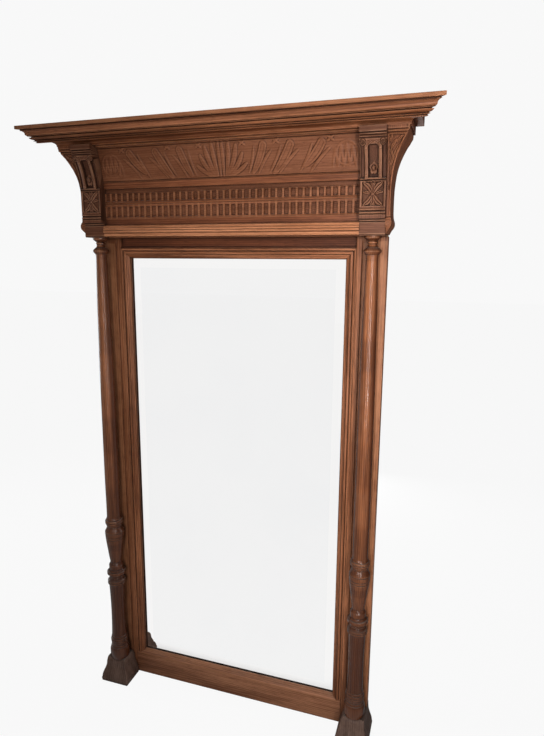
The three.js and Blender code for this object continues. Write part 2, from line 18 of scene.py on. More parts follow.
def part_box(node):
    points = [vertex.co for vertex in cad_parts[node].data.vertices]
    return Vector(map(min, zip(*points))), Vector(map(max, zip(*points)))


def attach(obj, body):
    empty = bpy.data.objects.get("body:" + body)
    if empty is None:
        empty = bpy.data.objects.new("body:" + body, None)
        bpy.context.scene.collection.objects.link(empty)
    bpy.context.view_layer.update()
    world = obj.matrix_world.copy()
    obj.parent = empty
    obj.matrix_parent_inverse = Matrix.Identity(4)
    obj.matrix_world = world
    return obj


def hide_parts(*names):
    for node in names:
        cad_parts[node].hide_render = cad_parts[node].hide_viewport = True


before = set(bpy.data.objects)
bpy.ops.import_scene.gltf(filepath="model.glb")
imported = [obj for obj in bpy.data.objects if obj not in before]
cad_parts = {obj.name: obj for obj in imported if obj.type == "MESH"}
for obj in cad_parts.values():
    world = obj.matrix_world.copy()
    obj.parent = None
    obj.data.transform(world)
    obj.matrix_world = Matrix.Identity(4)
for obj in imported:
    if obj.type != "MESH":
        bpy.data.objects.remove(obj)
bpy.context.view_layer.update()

LOG = logging.getLogger("pier_mirror")
MM = 0.001
WALL = 114.0  # the wall plane, behind the middle of the footprint
JOINT = 0.3  # joint line between neighbouring pieces
BODY = "root"
SHINE = 0.1  # specular level of waxed wood
SHARP = 42.0  # degrees from which a crease is drawn sharp
EVEN_WEIGHT = 60  # how strongly broad faces keep flat shading beside their eased edges
CORNER_SHARE = 0.42  # the most of an edge that a rounded corner takes
PAINTED_SHADE = (0.05, 0.014, 0.006)  # colour of the painted shade towards the floor and round a column's sides
DUST = (0.33, 0.28, 0.24)  # what has settled on upward faces

Array = np.ndarray
Socket = bpy.types.NodeSocket
Colour = tuple[float, float, float]
Point = tuple[float, float]
Profile = Sequence[Point]


# ---------------------------------------------------------------- where the solids are
@dataclass(frozen=True)
class Extent:
    """A CAD node's box in millimetres, its depth given as out from the wall."""

    x_low: float
    x_high: float
    out_low: float
    out_high: float
    z_low: float
    z_high: float

    @classmethod
    def of(cls, node: str) -> "Extent":
        """Reads a node's box.

        Args:
            node: the CAD node's name.

        Returns:
            Its extent.
        """
        low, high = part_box(node)
        return cls(low.x / MM, high.x / MM, WALL - high.y / MM, WALL - low.y / MM,
                   low.z / MM, high.z / MM)

    @property
    def middle(self) -> float:
        """The middle of its width."""
        return (self.x_low + self.x_high) / 2

    @property
    def height(self) -> float:
        """Its height."""
        return self.z_high - self.z_low

    def section(self, shares: Profile) -> Profile:
        """Stretches an (out, z) section drawn in a unit square over the box."""
        deep = self.out_high - self.out_low
        return [(self.out_low + u * deep, self.z_low + v * self.height) for u, v in shares]


class Side(Enum):
    """The left or right half, with the sign of its x."""

    LEFT = -1
    RIGHT = 1

    @property
    def word(self) -> str:
        """The side's name as it stands in node names."""
        return self.name.lower()


class Grain(Enum):
    """Which way a piece's grain runs; the value puts that axis last."""

    UPRIGHT = (0, 1, 2)
    ACROSS = (1, 2, 0)
    INWARD = (0, 2, 1)


# ---------------------------------------------------------------- bodies
@dataclass
class Body:
    """A closed mesh of (x, out, z) points, with how worn each point is.

    Attributes:
        points: one row per vertex.
        faces: vertex numbers of each face.
        ridge: up to 1 for each vertex where dusters have worn the wax off, which is also lightened as a painted
            highlight, down to -1 in quirks, where old wax and painted shade darken it.
        ground: 0 to 1 for each vertex, where a carver's punch has dotted the wood and where sunk work is darkened with
            painted shade.
        slots: the material slot of each face, or nothing for one material.
    """

    points: Array
    faces: list[tuple[int, ...]]
    ridge: Array
    ground: Array | None = None
    slots: list[int] | None = None

    @property
    def placed(self) -> Array:
        """Its points in millimetres in the row frame."""
        return np.column_stack([self.points[:, 0], WALL - self.points[:, 1], self.points[:, 2]])

    def volume(self) -> float:
        """Signed volume in the row frame, positive when the faces look outwards."""
        fans = np.array([(f[0], f[k], f[k + 1]) for f in self.faces for k in range(1, len(f) - 1)])
        a, b, c = (self.placed[fans[:, k]] for k in range(3))
        return np.einsum("ij,ij->", a, np.cross(b, c)) / 6

    def mesh(self, name: str) -> bpy.types.Mesh:
        """Makes the Blender mesh.

        Args:
            name: the mesh's name.

        Returns:
            The mesh, in metres in the row frame, its faces looking outwards.
        """
        faces = self.faces if self.volume() > 0 else [tuple(reversed(f)) for f in self.faces]
        mesh = bpy.data.meshes.new(name)
        mesh.from_pydata((self.placed * MM).tolist(), [], faces)
        if self.slots is not None:
            mesh.polygons.foreach_set("material_index", self.slots)
        for label, values in (("ridge", self.ridge), ("ground", self.ground)):
            if values is not None:
                layer = mesh.attributes.new(label, "FLOAT", "POINT")
                layer.data.foreach_set("value", values.astype(np.float32))
        mesh.shade_smooth()
        mesh.set_sharp_from_angle(angle=math.radians(SHARP))
        mesh.validate()
        return mesh


def tube(rings: Array, ridge: Array | float = 0.0, ring_slots: Sequence[int] | None = None) -> Body:
    """Skins a stack of closed rings and caps both ends.

    Args:
        rings: (levels, points, 3) array.
        ridge: wear of every ring point, or of every point of every level.
        ring_slots: material slot of each strip round the ring, the caps taking the first.

    Returns:
        The closed body.
    """
    levels, count, _ = rings.shape
    number = np.arange(levels * count).reshape(levels, count)
    ahead = np.roll(number, -1, 1)
    strips = np.stack([number[:-1], ahead[:-1], ahead[1:], number[1:]], -1)
    faces = [tuple(f) for f in strips.reshape(-1, 4).tolist()]
    faces += [tuple(number[0].tolist()), tuple(reversed(number[-1].tolist()))]
    wear = np.broadcast_to(ridge, (levels, count)).reshape(-1)
    slots = [*list(ring_slots) * (levels - 1), 0, 0] if ring_slots else None
    return Body(rings.reshape(-1, 3), faces, wear, slots=slots)


def slab(front: Array, back_out: float, ridge: Array | None = None,
         ground: Array | None = None) -> Body:
    """Closes a carved front with flat sides and a flat back.

    Args:
        front: (rows, columns, 3) array of points, rows going up.
        back_out: where the back face lies.
        ridge: wear of each front point.
        ground: punched ground of each front point.

    Returns:
        The closed body.
    """
    rows, columns, _ = front.shape
    number = np.arange(rows * columns).reshape(rows, columns)
    a, b, c, d = number[:-1, :-1], number[:-1, 1:], number[1:, 1:], number[1:, :-1]
    faces = [tuple(f) for f in np.stack([a, b, c, d], -1).reshape(-1, 4).tolist()]
    corners = front[[0, 0, -1, -1], [0, -1, -1, 0]].copy()
    corners[:, 1] = back_out
    base = rows * columns
    low_left, low_right, high_right, high_left = range(base, base + 4)
    faces.append((low_left, low_right, *reversed(number[0].tolist())))
    faces.append((high_right, high_left, *number[-1].tolist()))
    faces.append((high_left, low_left, *number[:, 0].tolist()))
    faces.append((low_right, high_right, *reversed(number[:, -1].tolist())))
    faces.append((low_right, low_left, high_left, high_right))
    points = np.vstack([front.reshape(-1, 3), corners])
    tail = np.zeros(4)
    wear = np.zeros(base) if ridge is None else ridge.reshape(-1)
    dots = None if ground is None else np.concatenate([ground.reshape(-1), tail])
    return Body(points, faces, np.concatenate([wear, tail]), dots)


def eased(profile: Profile, ease: float = 0.9, crisp: float = 38.0,
          halo: float = 3.0) -> tuple[Array, Array]:
    """Rounds a closed section the way hand planes leave it.

    Corners sharper than crisp keep a small round, and gentler ones become part of a curve.

    Args:
        profile: the section's corners in order.
        ease: size of the round on a crisp corner, in millimetres.
        crisp: turn in degrees above which a corner is kept.
        halo: how far wear spreads from a crisp corner.

    Returns:
        The rounded section and the wear of each of its points.
    """
    corners = np.array(profile, float)
    following = np.roll(corners, -1, 0)
    area = np.sum(corners[:, 0] * following[:, 1] - following[:, 0] * corners[:, 1])
    points: list[Array] = []
    wear: list[float] = []
    for i, here in enumerate(corners):
        back, ahead = here - corners[i - 1], following[i] - here
        long_back, long_ahead = np.linalg.norm(back), np.linalg.norm(ahead)
        turn = math.atan2(back[0] * ahead[1] - back[1] * ahead[0], float(back @ ahead))
        convex = turn * area > 0
        if abs(turn) < math.radians(crisp):
            shares, worn = (0, 0.25, 0.5, 0.75, 1), 0.2
            cut_back, cut_ahead = long_back / 2, long_ahead / 2
        else:
            shares, worn = (0, 0.33, 0.67, 1), 1.0
            cut_back, cut_ahead = (min(ease, CORNER_SHARE * edge) for edge in (long_back, long_ahead))
            if long_back > 4 * halo:
                points.append(here - back / long_back * halo)
                wear.append(0.0)
        start, end = here - back / long_back * cut_back, here + ahead / long_ahead * cut_ahead
        for t in shares:
            points.append((1 - t) ** 2 * start + 2 * t * (1 - t) * here + t * t * end)
            wear.append(worn if convex else -worn)
        if worn == 1.0 and long_ahead > 4 * halo:
            points.append(here + ahead / long_ahead * halo)
            wear.append(0.0)
    kept = [0]
    for i in range(1, len(points)):
        if np.linalg.norm(points[i] - points[kept[-1]]) > 1e-3:
            kept.append(i)
    if np.linalg.norm(points[kept[-1]] - points[kept[0]]) < 1e-3:
        kept.pop()
    return np.array([points[i] for i in kept]), np.array([wear[i] for i in kept])


def swept(profile: Profile, place: Callable[[Array, Array, float], Sequence[Array]], ease: float = 0.9,
          slot_of: Callable[[float, float], int] | None = None) -> Body:
    """Runs a section along a piece.

    Args:
        profile: the section as (u, v) corners.
        place: gives x, out and z of the section's points at the run's start, 0, or end, 1.
        ease: size of the round on crisp corners.
        slot_of: material slot of a strip, from the middle of its (u, v).

    Returns:
        The closed body.
    """
    section, wear = eased(profile, ease)
    u, v = section[:, 0], section[:, 1]
    rings = np.array([
        np.column_stack([np.broadcast_to(c, u.shape) for c in place(u, v, w)]) for w in (0.0, 1.0)])
    slots = None
    if slot_of is not None:
        after = np.roll(section, -1, 0)
        slots = [slot_of(*m) for m in (section + after) / 2]
    return tube(rings, wear, slots)


def run_across(profile: Profile, x_low: float, x_high: float, ease: float = 0.9) -> Body:
    """Runs an (out, z) section from x_low to x_high with square ends."""
    return swept(profile, lambda out, z, w: (x_low + w * (x_high - x_low), out, z), ease=ease)


def board(e: Extent) -> Body:
    """A plain board with eased long edges."""
    corners = [(e.out_low, e.z_low), (e.out_high, e.z_low), (e.out_high, e.z_high),
               (e.out_low, e.z_high)]
    return run_across(corners, e.x_low, e.x_high, 1.2)


def smoothed(line: Array, width: int) -> Array:
    """A line averaged under a bell of an odd number of points."""
    bell = np.hanning(width) / np.hanning(width).sum()
    return np.convolve(np.pad(line, width // 2, mode="edge"), bell, mode="valid")


def carved_front(e: Extent, x: Array, out: Array, v: Array, high: Array) -> Array:
    """Lays carving square to a face that curves up its height.

    Args:
        e: the piece's box, which the carving stays inside.
        x: x of each point.
        out: how far out the smooth face is at each row.
        v: height of each point above the piece's foot.
        high: carved height of each point.

    Returns:
        (rows, columns, 3) array of points.
    """
    slope = np.gradient(out, v[:, 0])
    length = np.hypot(1, slope)
    front = np.stack([x, np.minimum(out[:, None] + high / length[:, None], e.out_high),
                      e.z_low + np.clip(v - high * (slope / length)[:, None], 0, e.height)], -1)
    front[0, :, 2], front[-1, :, 2] = e.z_low, e.z_high
    return front


# ---------------------------------------------------------------- a carver's strokes
def rise(x: Array, low: float, high: float) -> Array:
    """Smooth step from 0 at low to 1 at high."""
    t = np.clip((x - low) / (high - low), 0, 1)
    return t * t * (3 - 2 * t)


def domed(distance: Array, radius: float | Array) -> Array:
    """Height of a half-round of that radius, 1 at its middle and 0 outside."""
    return np.sqrt(np.clip(1 - (distance / radius) ** 2, 0, 1))


def bump(x: Array, middle: float | Array, width: float) -> Array:
    """A soft ridge, 1 at its middle."""
    return np.exp(-((x - middle) / width) ** 2)


def lines(x: Array, rows: Sequence[tuple[float, float, float]]) -> Array:
    """Adds up fine ridges and grooves, each a (height, middle, width)."""
    return sum(height * bump(x, middle, width) for height, middle, width in rows)


def along(x: Array, z: Array, start: Point, end: Point, bow: float = 0.0) -> tuple[Array, Array]:
    """Places points along a stroke.

    Args:
        x: the points' x.
        z: the points' z.
        start: where the stroke starts.
        end: where it ends.
        bow: how far its middle bends to the left of its way.

    Returns:
        The share of the stroke's length and the distance from its line.
    """
    dx, dz = end[0] - start[0], end[1] - start[1]
    length = math.hypot(dx, dz)
    t = ((x - start[0]) * dx + (z - start[1]) * dz) / length**2
    aside = ((z - start[1]) * dx - (x - start[0]) * dz) / length
    inside = np.clip(t, 0, 1)
    aside = aside - bow * 4 * inside * (1 - inside)
    past = (t - inside) * length
    return inside, np.sign(aside) * np.hypot(aside, past)


def tongue(x: Array, z: Array, start: Point, end: Point, width: float, bow: float = 0.0) -> Array:
    """A raised tongue with a rolled rim and a rounded belly.

    Args:
        x: the points' x.
        z: the points' z.
        start: its narrow foot.
        end: its round head.
        width: half its widest breadth.
        bow: bend of its middle.

    Returns:
        Its height, 1 at the rim.
    """
    t, d = along(x, z, start, end, bow)
    half = width * (0.38 + 0.62 * np.sin(np.clip(t * 1.05, 0, 1) ** 0.8 * math.pi * 0.62))
    share = np.abs(d) / half
    rim = bump(share, 0.84, 0.16)
    belly = 0.45 * domed(share, 0.6)
    return np.where(share < 1.15, np.maximum(rim, belly), 0)


def leaf(x: Array, z: Array, start: Point, end: Point, width: float, bow: float = 0.0) -> Array:
    """A pointed leaf with a sunk vein.

    Args:
        x: the points' x.
        z: the points' z.
        start: its stalk.
        end: its tip.
        width: half its widest breadth.
        bow: bend of its middle.

    Returns:
        Its height, 1 at most.
    """
    t, d = along(x, z, start, end, bow)
    half = width * np.clip(0.25 + 0.95 * np.sin(np.clip(t, 0, 1) ** 0.9 * math.pi * 0.9), 0.12, 1)
    body = domed(d, half)
    return body * (1 - 0.55 * bump(d, 0, 0.16 * width + 0.4))


def scroll(x: Array, z: Array, middle: Point, radius: float) -> Array:
    """A volute: a spiral fillet winding in to an eye.

    Args:
        x: the points' x.
        z: the points' z.
        middle: its eye.
        radius: its reach.

    Returns:
        Its height, 1 at most.
    """
    dx, dz = x - middle[0], z - middle[1]
    r = np.hypot(dx, dz) / radius
    turns = np.arctan2(dz, dx) / (2 * math.pi) + np.log(np.clip(r, 0.05, None)) / math.log(0.48)
    fillet = 0.5 + 0.5 * np.cos(2 * math.pi * turns)
    disc = 1 - rise(r, 0.92, 1.02)
    return np.maximum(disc * (0.45 + 0.55 * fillet), domed(r, 0.22))


def softened(height: Array, passes: int) -> Array:
    """A carving made softer; each pass averages every point with its neighbours."""
    for _ in range(passes):
        wide = np.pad(height, 1, mode="edge")
        height = (wide[:-2, 1:-1] + wide[2:, 1:-1] + wide[1:-1, :-2] + wide[1:-1, 2:] + 4 * height) / 8
    return height


def crest_and_hollow(height: Array, pitch: float) -> Array:
    """Crests and hollows of a carved height map, for wear with its painted highlight and for painted shade; crests are
    found where it is higher than what lies round it.

    Args:
        height: the height map in millimetres.
        pitch: distance between its points.

    Returns:
        -1 to 1 for each point, below 0 in the hollows.
    """
    reach = max(1, round(2.0 / pitch))
    around = np.zeros_like(height)
    for dr, dc in ((reach, 0), (-reach, 0), (0, reach), (0, -reach)):
        padded = np.pad(height, reach, mode="edge")
        rows, columns = height.shape
        around += padded[reach + dr:reach + dr + rows, reach + dc:reach + dc + columns]
    return np.clip((height - around / 4) / 0.55, -1, 1)


# ---------------------------------------------------------------- shader nodes
class Tree:
    """Adds nodes to one node tree and links them."""

    def __init__(self, tree: bpy.types.NodeTree) -> None:
        """Starts on an emptied tree."""
        self.tree = tree
        tree.nodes.clear()

    def plug(self, node: bpy.types.Node, plugs: dict) -> bpy.types.Node:
        """Sets a node's inputs.

        Args:
            node: the node.
            plugs: values or sockets for its inputs, by name or number.

        Returns:
            The same node.
        """
        for key, value in plugs.items():
            if isinstance(value, Socket):
                self.tree.links.new(value, node.inputs[key])
            else:
                node.inputs[key].default_value = value
        return node

    def add(self, kind: str, plugs: dict | None = None, **settings: object) -> bpy.types.Node:
        """Adds a node.

        Args:
            kind: the node's type.
            plugs: values or sockets for its inputs, by name or number.
            settings: its own settings.

        Returns:
            The node.
        """
        node = self.tree.nodes.new(kind)
        for key, value in settings.items():
            setattr(node, key, value)
        return self.plug(node, plugs or {})

    def shared(self, data: bpy.types.NodeTree, plugs: dict) -> Sequence[Socket]:
        """The outputs of a shared group that is given a finish's own values."""
        return self.add("ShaderNodeGroup", plugs, node_tree=data).outputs

    def math(self, operation: str, *values: float | Socket, clamp: bool = False) -> Socket:
        """A Math node's result."""
        return self.add("ShaderNodeMath", dict(enumerate(values)), operation=operation,
                        use_clamp=clamp).outputs[0]

    def vector(self, operation: str, *values: object) -> Socket:
        """A Vector Math node's result."""
        return self.add("ShaderNodeVectorMath", dict(enumerate(values)), operation=operation).outputs[0]

    def axis(self, vector: Socket, name: str) -> Socket:
        """One axis of a vector."""
        return self.add("ShaderNodeSeparateXYZ", {0: vector}).outputs[name]

    def attribute(self, name: str) -> Sequence[Socket]:
        """The outputs of a mesh attribute."""
        return self.add("ShaderNodeAttribute", attribute_name=name).outputs

    def here(self) -> Socket:
        """The place on the object."""
        return self.add("ShaderNodeTexCoord").outputs["Object"]

    def mix(self, factor: float | Socket, low: object, high: object) -> Socket:
        """A colour between two others."""
        ends = {number: value if isinstance(value, Socket) else rgba(value)
                for number, value in ((6, low), (7, high))}
        return self.add("ShaderNodeMix", {0: factor, **ends}, data_type="RGBA").outputs[2]

    def between(self, value: Socket, low: float, high: float, to_low: float = 0.0,
                to_high: float = 1.0) -> Socket:
        """A value mapped smoothly from one range to another."""
        return self.add("ShaderNodeMapRange", {0: value, 1: low, 2: high, 3: to_low, 4: to_high},
                        interpolation_type="SMOOTHSTEP").outputs[0]

    def noise(self, place: Socket, scale: float, detail: float = 2.0, rough: float = 0.5) -> Socket:
        """A noise value from 0 to 1."""
        return self.add("ShaderNodeTexNoise", {"Vector": place, "Scale": scale, "Detail": detail,
                                               "Roughness": rough}).outputs[0]

    def surface(self, shader: bpy.types.Node) -> None:
        """Makes a shader the material's surface."""
        self.add("ShaderNodeOutputMaterial", {"Surface": shader.outputs[0]})


def rgba(colour: Sequence[float]) -> tuple[float, ...]:
    """A colour with its alpha."""
    return (*colour[:3], 1.0)


def new_material(name: str) -> tuple[bpy.types.Material, Tree]:
    """A new material and its emptied tree."""
    data = bpy.data.materials.new(name)
    data.use_nodes = True
    return data, Tree(data.node_tree)


def group(name: str, inputs: dict[str, str],
          outputs: dict[str, str]) -> tuple[Tree, Sequence[Socket], bpy.types.Node]:
    """Starts a shader node group.

    Args:
        name: its name.
        inputs: the kind of each input.
        outputs: the kind of each output.

    Returns:
        Its tree, the sockets of its inputs and its output node.
    """
    data = bpy.data.node_groups.new(name, "ShaderNodeTree")
    for way, sockets in (("INPUT", inputs), ("OUTPUT", outputs)):
        for label, kind in sockets.items():
            data.interface.new_socket(name=label, in_out=way, socket_type="NodeSocket" + kind)
    tree = Tree(data)
    return tree, tree.add("NodeGroupInput").outputs, tree.add("NodeGroupOutput")


class Effects:
    """The shader groups that the finishes share, each built once."""

    def __init__(self) -> None:
        """Builds every group."""
        self.grain = self.build_grain()
        self.wear = self.build_wear_and_highlight()
        self.dirt_and_shade = self.build_dirt_and_shade()
        self.dust = self.build_dust()
        self.punch = self.build_punch()
        self.low = self.build_painted_shade()

    @staticmethod
    def build_grain() -> bpy.types.NodeTree:
        """Oak grain: growth rings, streaks, open pores and a slow drift of tone."""
        tree, given, result = group(
            "timber_grain",
            {"Place": "Vector", "Light": "Color", "Dark": "Color", "Pore": "Color",
             "Ring Scale": "Float"},
            {"Colour": "Color", "Height": "Float", "Sheen": "Float"})
        place = tree.vector("ADD", given["Place"], (0.9, 0.6, 0.0))
        drawn, mild, fine = (
            tree.vector("MULTIPLY", place, (1.0, 1.0, draw)) for draw in (0.055, 0.35, 0.03))
        sway = tree.add("ShaderNodeTexNoise", {"Vector": drawn, "Scale": 9.0, "Detail": 1.0}).outputs[1]
        moved = tree.vector("ADD", drawn, tree.vector("MULTIPLY", sway, (0.03, 0.03, 0.0)))
        rings = tree.add(
            "ShaderNodeTexWave",
            {"Vector": moved, "Scale": given["Ring Scale"], "Distortion": 1.6, "Detail": 2.0,
             "Detail Scale": 1.5},
            wave_type="RINGS", rings_direction="Z", wave_profile="SIN").outputs[1]
        streak = tree.noise(moved, 190.0, 4.0, 0.62)
        pores = tree.between(tree.noise(fine, 1150.0, 1.0, 0.4), 0.56, 0.68)
        early = tree.between(rings, 0.25, 0.75)
        pores = tree.math("MULTIPLY", pores, tree.math("MULTIPLY_ADD", early, 0.7, 0.3))
        tone = tree.math("MULTIPLY_ADD", rings, 0.26, tree.math("MULTIPLY", streak, 0.7))
        tone = tree.math("MULTIPLY_ADD", tree.noise(moved, 52.0), 1.0, tone)
        tone = tree.math("ADD", tone, tree.math("MULTIPLY_ADD", tree.noise(mild, 6.0), 0.7, -0.79))
        body = tree.mix(tree.between(tone, 0.1, 0.95), given["Dark"], given["Light"])
        tree.plug(result, {
            "Colour": tree.mix(tree.math("MULTIPLY", pores, 0.6), body, given["Pore"]),
            "Height": tree.math("SUBTRACT", tree.math("MULTIPLY", streak, 0.35), pores),
            "Sheen": tree.math("MULTIPLY_ADD", streak, 0.22, tree.math("MULTIPLY", pores, 0.25))})
        return tree.tree

    @staticmethod
    def build_wear_and_highlight() -> bpy.types.NodeTree:
        """Wax worn off the arrises and the tops of the carving, also a painted highlight there, and old wax with
        painted shade left in the quirks.
        """
        tree, given, result = group("edge_wear_and_highlight", {"Place": "Vector"},
                                    {"Mask": "Float", "Quirk": "Float"})
        ridge = tree.attribute("ridge")["Fac"]
        patchy = tree.between(tree.noise(given["Place"], 26.0, 3.0), 0.32, 0.62, 0.35, 1.0)
        high = tree.math("MAXIMUM", ridge, 0.0)
        low = tree.math("MAXIMUM", tree.math("MULTIPLY", ridge, -1.0), 0.0)
        tree.plug(result, {
            "Mask": tree.math("MULTIPLY", high, patchy),
            "Quirk": tree.math("MULTIPLY", low, tree.math("MULTIPLY_ADD", patchy, 0.3, 0.7))})
        return tree.tree

    @staticmethod
    def build_dirt_and_shade() -> bpy.types.NodeTree:
        """Old wax and dirt in hollows together with painted shade there, and painted shade in broad recesses, both
        from ambient occlusion.
        """
        tree, given, result = group("hollow_dirt_and_shade", {"Place": "Vector", "Reach": "Float"},
                                    {"Mask": "Float", "Recess": "Float"})
        near_sky, wide_sky = (
            tree.add("ShaderNodeAmbientOcclusion", {"Distance": reach}, samples=6).outputs["AO"]
            for reach in (given["Reach"], 0.11))
        hollow = tree.between(near_sky, 0.28, 0.92, 1.0, 0.0)
        patchy = tree.between(tree.noise(given["Place"], 40.0, 3.0), 0.3, 0.7, 0.7, 1.0)
        tree.plug(result, {"Mask": tree.math("MULTIPLY", hollow, patchy),
                           "Recess": tree.between(wide_sky, 0.3, 0.97, 1.0, 0.0)})
        return tree.tree

    @staticmethod
    def build_dust() -> bpy.types.NodeTree:
        """Pale dust on what looks upwards."""
        tree, given, result = group("settled_dust", {"Place": "Vector"}, {"Mask": "Float"})
        up = tree.axis(tree.add("ShaderNodeNewGeometry").outputs["Normal"], "Z")
        patchy = tree.between(tree.noise(given["Place"], 18.0, 4.0, 0.6), 0.35, 0.7, 0.35, 1.0)
        tree.plug(result, {"Mask": tree.math("MULTIPLY", tree.between(up, 0.55, 0.98), patchy)})
        return tree.tree

    @staticmethod
    def build_punch() -> bpy.types.NodeTree:
        """The carver's dotted ground, darkened also as painted shade in sunk work, where the mesh says there is one.
        """
        tree, given, result = group("punched_ground_and_shade", {"Place": "Vector"},
                                    {"Height": "Float", "Mask": "Float"})
        ground = tree.attribute("ground")["Fac"]
        dots = tree.add("ShaderNodeTexVoronoi", {"Vector": given["Place"], "Scale": 240.0},
                        feature="F1").outputs["Distance"]
        tree.plug(result, {
            "Height": tree.math("MULTIPLY", tree.between(dots, 0.15, 0.6, -1.0, 0.0), ground),
            "Mask": tree.math("MULTIPLY", ground, tree.between(dots, 0.1, 0.75, 1.0, 0.6))})
        return tree.tree

    @staticmethod
    def build_painted_shade() -> bpy.types.NodeTree:
        """Painted shade: darker towards the floor and where a surface turns from the front."""
        tree, _, result = group("low_painted_shade", {}, {"Mask": "Float", "Aside": "Float"})
        way = tree.axis(tree.add("ShaderNodeNewGeometry").outputs["Normal"], "Y")
        tree.plug(result, {"Mask": tree.between(tree.axis(tree.here(), "Z"), 0.25, 1.3, 1.0, 0.0),
                           "Aside": tree.between(way, -0.97, -0.45)})
        return tree.tree


# ---------------------------------------------------------------- finishes
@dataclass(frozen=True)
class Oak:
    """Waxed oak, or another timber by its colours.

    Attributes:
        name: the material's name.
        light: colour of the late wood.
        dark: colour of the early wood.
        pore: colour in the pores.
        worn: colour where the wax is worn off, also a painted highlight on arrises and crests.
        dirt_and_shade: colour of the dirt and of the painted shade in hollows, quirks and broad recesses.
        roughness: roughness before grain and grime change it.
        sunk: how dark the punched ground is, from old dirt and from painted shade in sunk work such as flutes, grooves
            and channels.
        quirk: how dark the old wax and painted shade in the bottoms of quirks are.
        recess: how dark the painted shade in broad recesses is.
        wear: strength of the edge wear and of its painted highlight.
        hollow: strength of the dirt and painted shade in hollows.
        reach: how far the dirt and painted shade reach out of a hollow, in metres.
        dust: strength of the dust.
        ring_scale: how close the growth rings are.
        shine: its specular level.
        low: how strongly painted shade darkens it towards the floor.
        aside: how strongly painted shade darkens it where it turns from the front, if low is above 0.
    """

    name: str
    light: Colour
    dark: Colour
    pore: Colour = (0.018, 0.006, 0.003)
    worn: Colour = (0.46, 0.21, 0.1)
    dirt_and_shade: Colour = (0.012, 0.004, 0.002)
    roughness: float = 0.27
    sunk: float = 0.45
    quirk: float = 0.9
    recess: float = 0.4
    wear: float = 0.3
    hollow: float = 0.88
    reach: float = 0.014
    dust: float = 0.3
    ring_scale: float = 58.0
    shine: float = SHINE
    low: float = 0.0
    aside: float = 0.0

    def material(self, effects: Effects, grain: Grain | None = None) -> bpy.types.Material:
        """Makes the material.

        Args:
            effects: the shared groups.
            grain: the grain's way on a CAD node; nothing where the mesh carries its own places.

        Returns:
            The material.
        """
        data, tree = new_material(self.name if grain is None else f"{self.name}_{grain.name.lower()}")
        if grain is None:
            place = tree.attribute("grain_place")["Vector"]
        else:
            split = tree.add("ShaderNodeSeparateXYZ", {0: tree.here()}).outputs
            place = tree.add("ShaderNodeCombineXYZ",
                             {k: split[axis] for k, axis in enumerate(grain.value)}).outputs[0]
        timber = tree.shared(effects.grain, {
            "Place": place, "Light": rgba(self.light), "Dark": rgba(self.dark),
            "Pore": rgba(self.pore), "Ring Scale": self.ring_scale})
        edge = tree.shared(effects.wear, {"Place": place})
        dirt_and_shade = tree.shared(effects.dirt_and_shade, {"Place": place, "Reach": self.reach})
        dust = tree.shared(effects.dust, {"Place": place})["Mask"]
        punch = tree.shared(effects.punch, {"Place": place})

        def part(mask: Socket, strength: float) -> Socket:
            """A mask at a strength."""
            return tree.math("MULTIPLY", mask, strength)

        # edge wear, partly a painted highlight on arrises and crests
        colour = tree.mix(part(edge["Mask"], self.wear), timber["Colour"], self.worn)
        # painted shade in broad recesses, from ambient occlusion
        colour = tree.mix(part(dirt_and_shade["Recess"], self.recess), colour, self.dirt_and_shade)
        # painted shade towards the floor and where the surface turns from the front
        if self.low:
            shade_masks = tree.shared(effects.low, {})
            shaded = tree.math("MAXIMUM", part(shade_masks["Mask"], self.low),
                                part(shade_masks["Aside"], self.aside))
            colour = tree.mix(shaded, colour, PAINTED_SHADE)
        # dirt and painted shade in hollows and quirks, and the punched ground with painted shade in sunk work
        dark = tree.math("MAXIMUM", part(dirt_and_shade["Mask"], self.hollow), part(punch["Mask"], self.sunk))
        dark = tree.math("MAXIMUM", dark, part(edge["Quirk"], self.quirk))
        colour = tree.mix(part(dust, self.dust), tree.mix(dark, colour, self.dirt_and_shade), DUST)
        rough = tree.math("ADD", tree.math("MULTIPLY_ADD", dark, 0.3, self.roughness), timber["Sheen"])
        rough = tree.math("MULTIPLY_ADD", dust, 0.3, rough, clamp=True)
        height = tree.math("MULTIPLY_ADD", punch["Height"], 1.4, timber["Height"])
        normal = tree.add("ShaderNodeBump", {"Strength": 0.35, "Distance": 0.00045, "Height": height})
        tree.surface(tree.add("ShaderNodeBsdfPrincipled", {
            "Base Color": colour, "Roughness": rough, "Normal": normal.outputs[0],
            "Specular IOR Level": self.shine}))
        return data


@dataclass(frozen=True)
class Metal:
    """Dull metal with fine scratches.

    Attributes:
        name: the material's name.
        colour: its colour.
        tarnish: its colour where it has dulled.
        roughness: its roughness before the scratches.
    """

    name: str
    colour: Colour
    tarnish: Colour
    roughness: float = 0.36

    def material(self) -> bpy.types.Material:
        """Makes the material."""
        data, tree = new_material(self.name)
        here = tree.here()
        spots = tree.between(tree.noise(here, 240.0, 4.0, 0.6), 0.42, 0.62)
        scratches = tree.noise(tree.vector("MULTIPLY", here, (0.06, 1.0, 1.0)), 2400.0, 2.0)
        rough = tree.math("MULTIPLY_ADD", spots, 0.15, self.roughness)
        normal = tree.add("ShaderNodeBump", {"Strength": 0.2, "Distance": 0.0001, "Height": scratches})
        tree.surface(tree.add("ShaderNodeBsdfPrincipled", {
            "Base Color": tree.mix(spots, self.colour, self.tarnish), "Metallic": 1.0,
            "Roughness": tree.math("MULTIPLY_ADD", scratches, 0.22, rough),
            "Normal": normal.outputs[0]}))
        return data


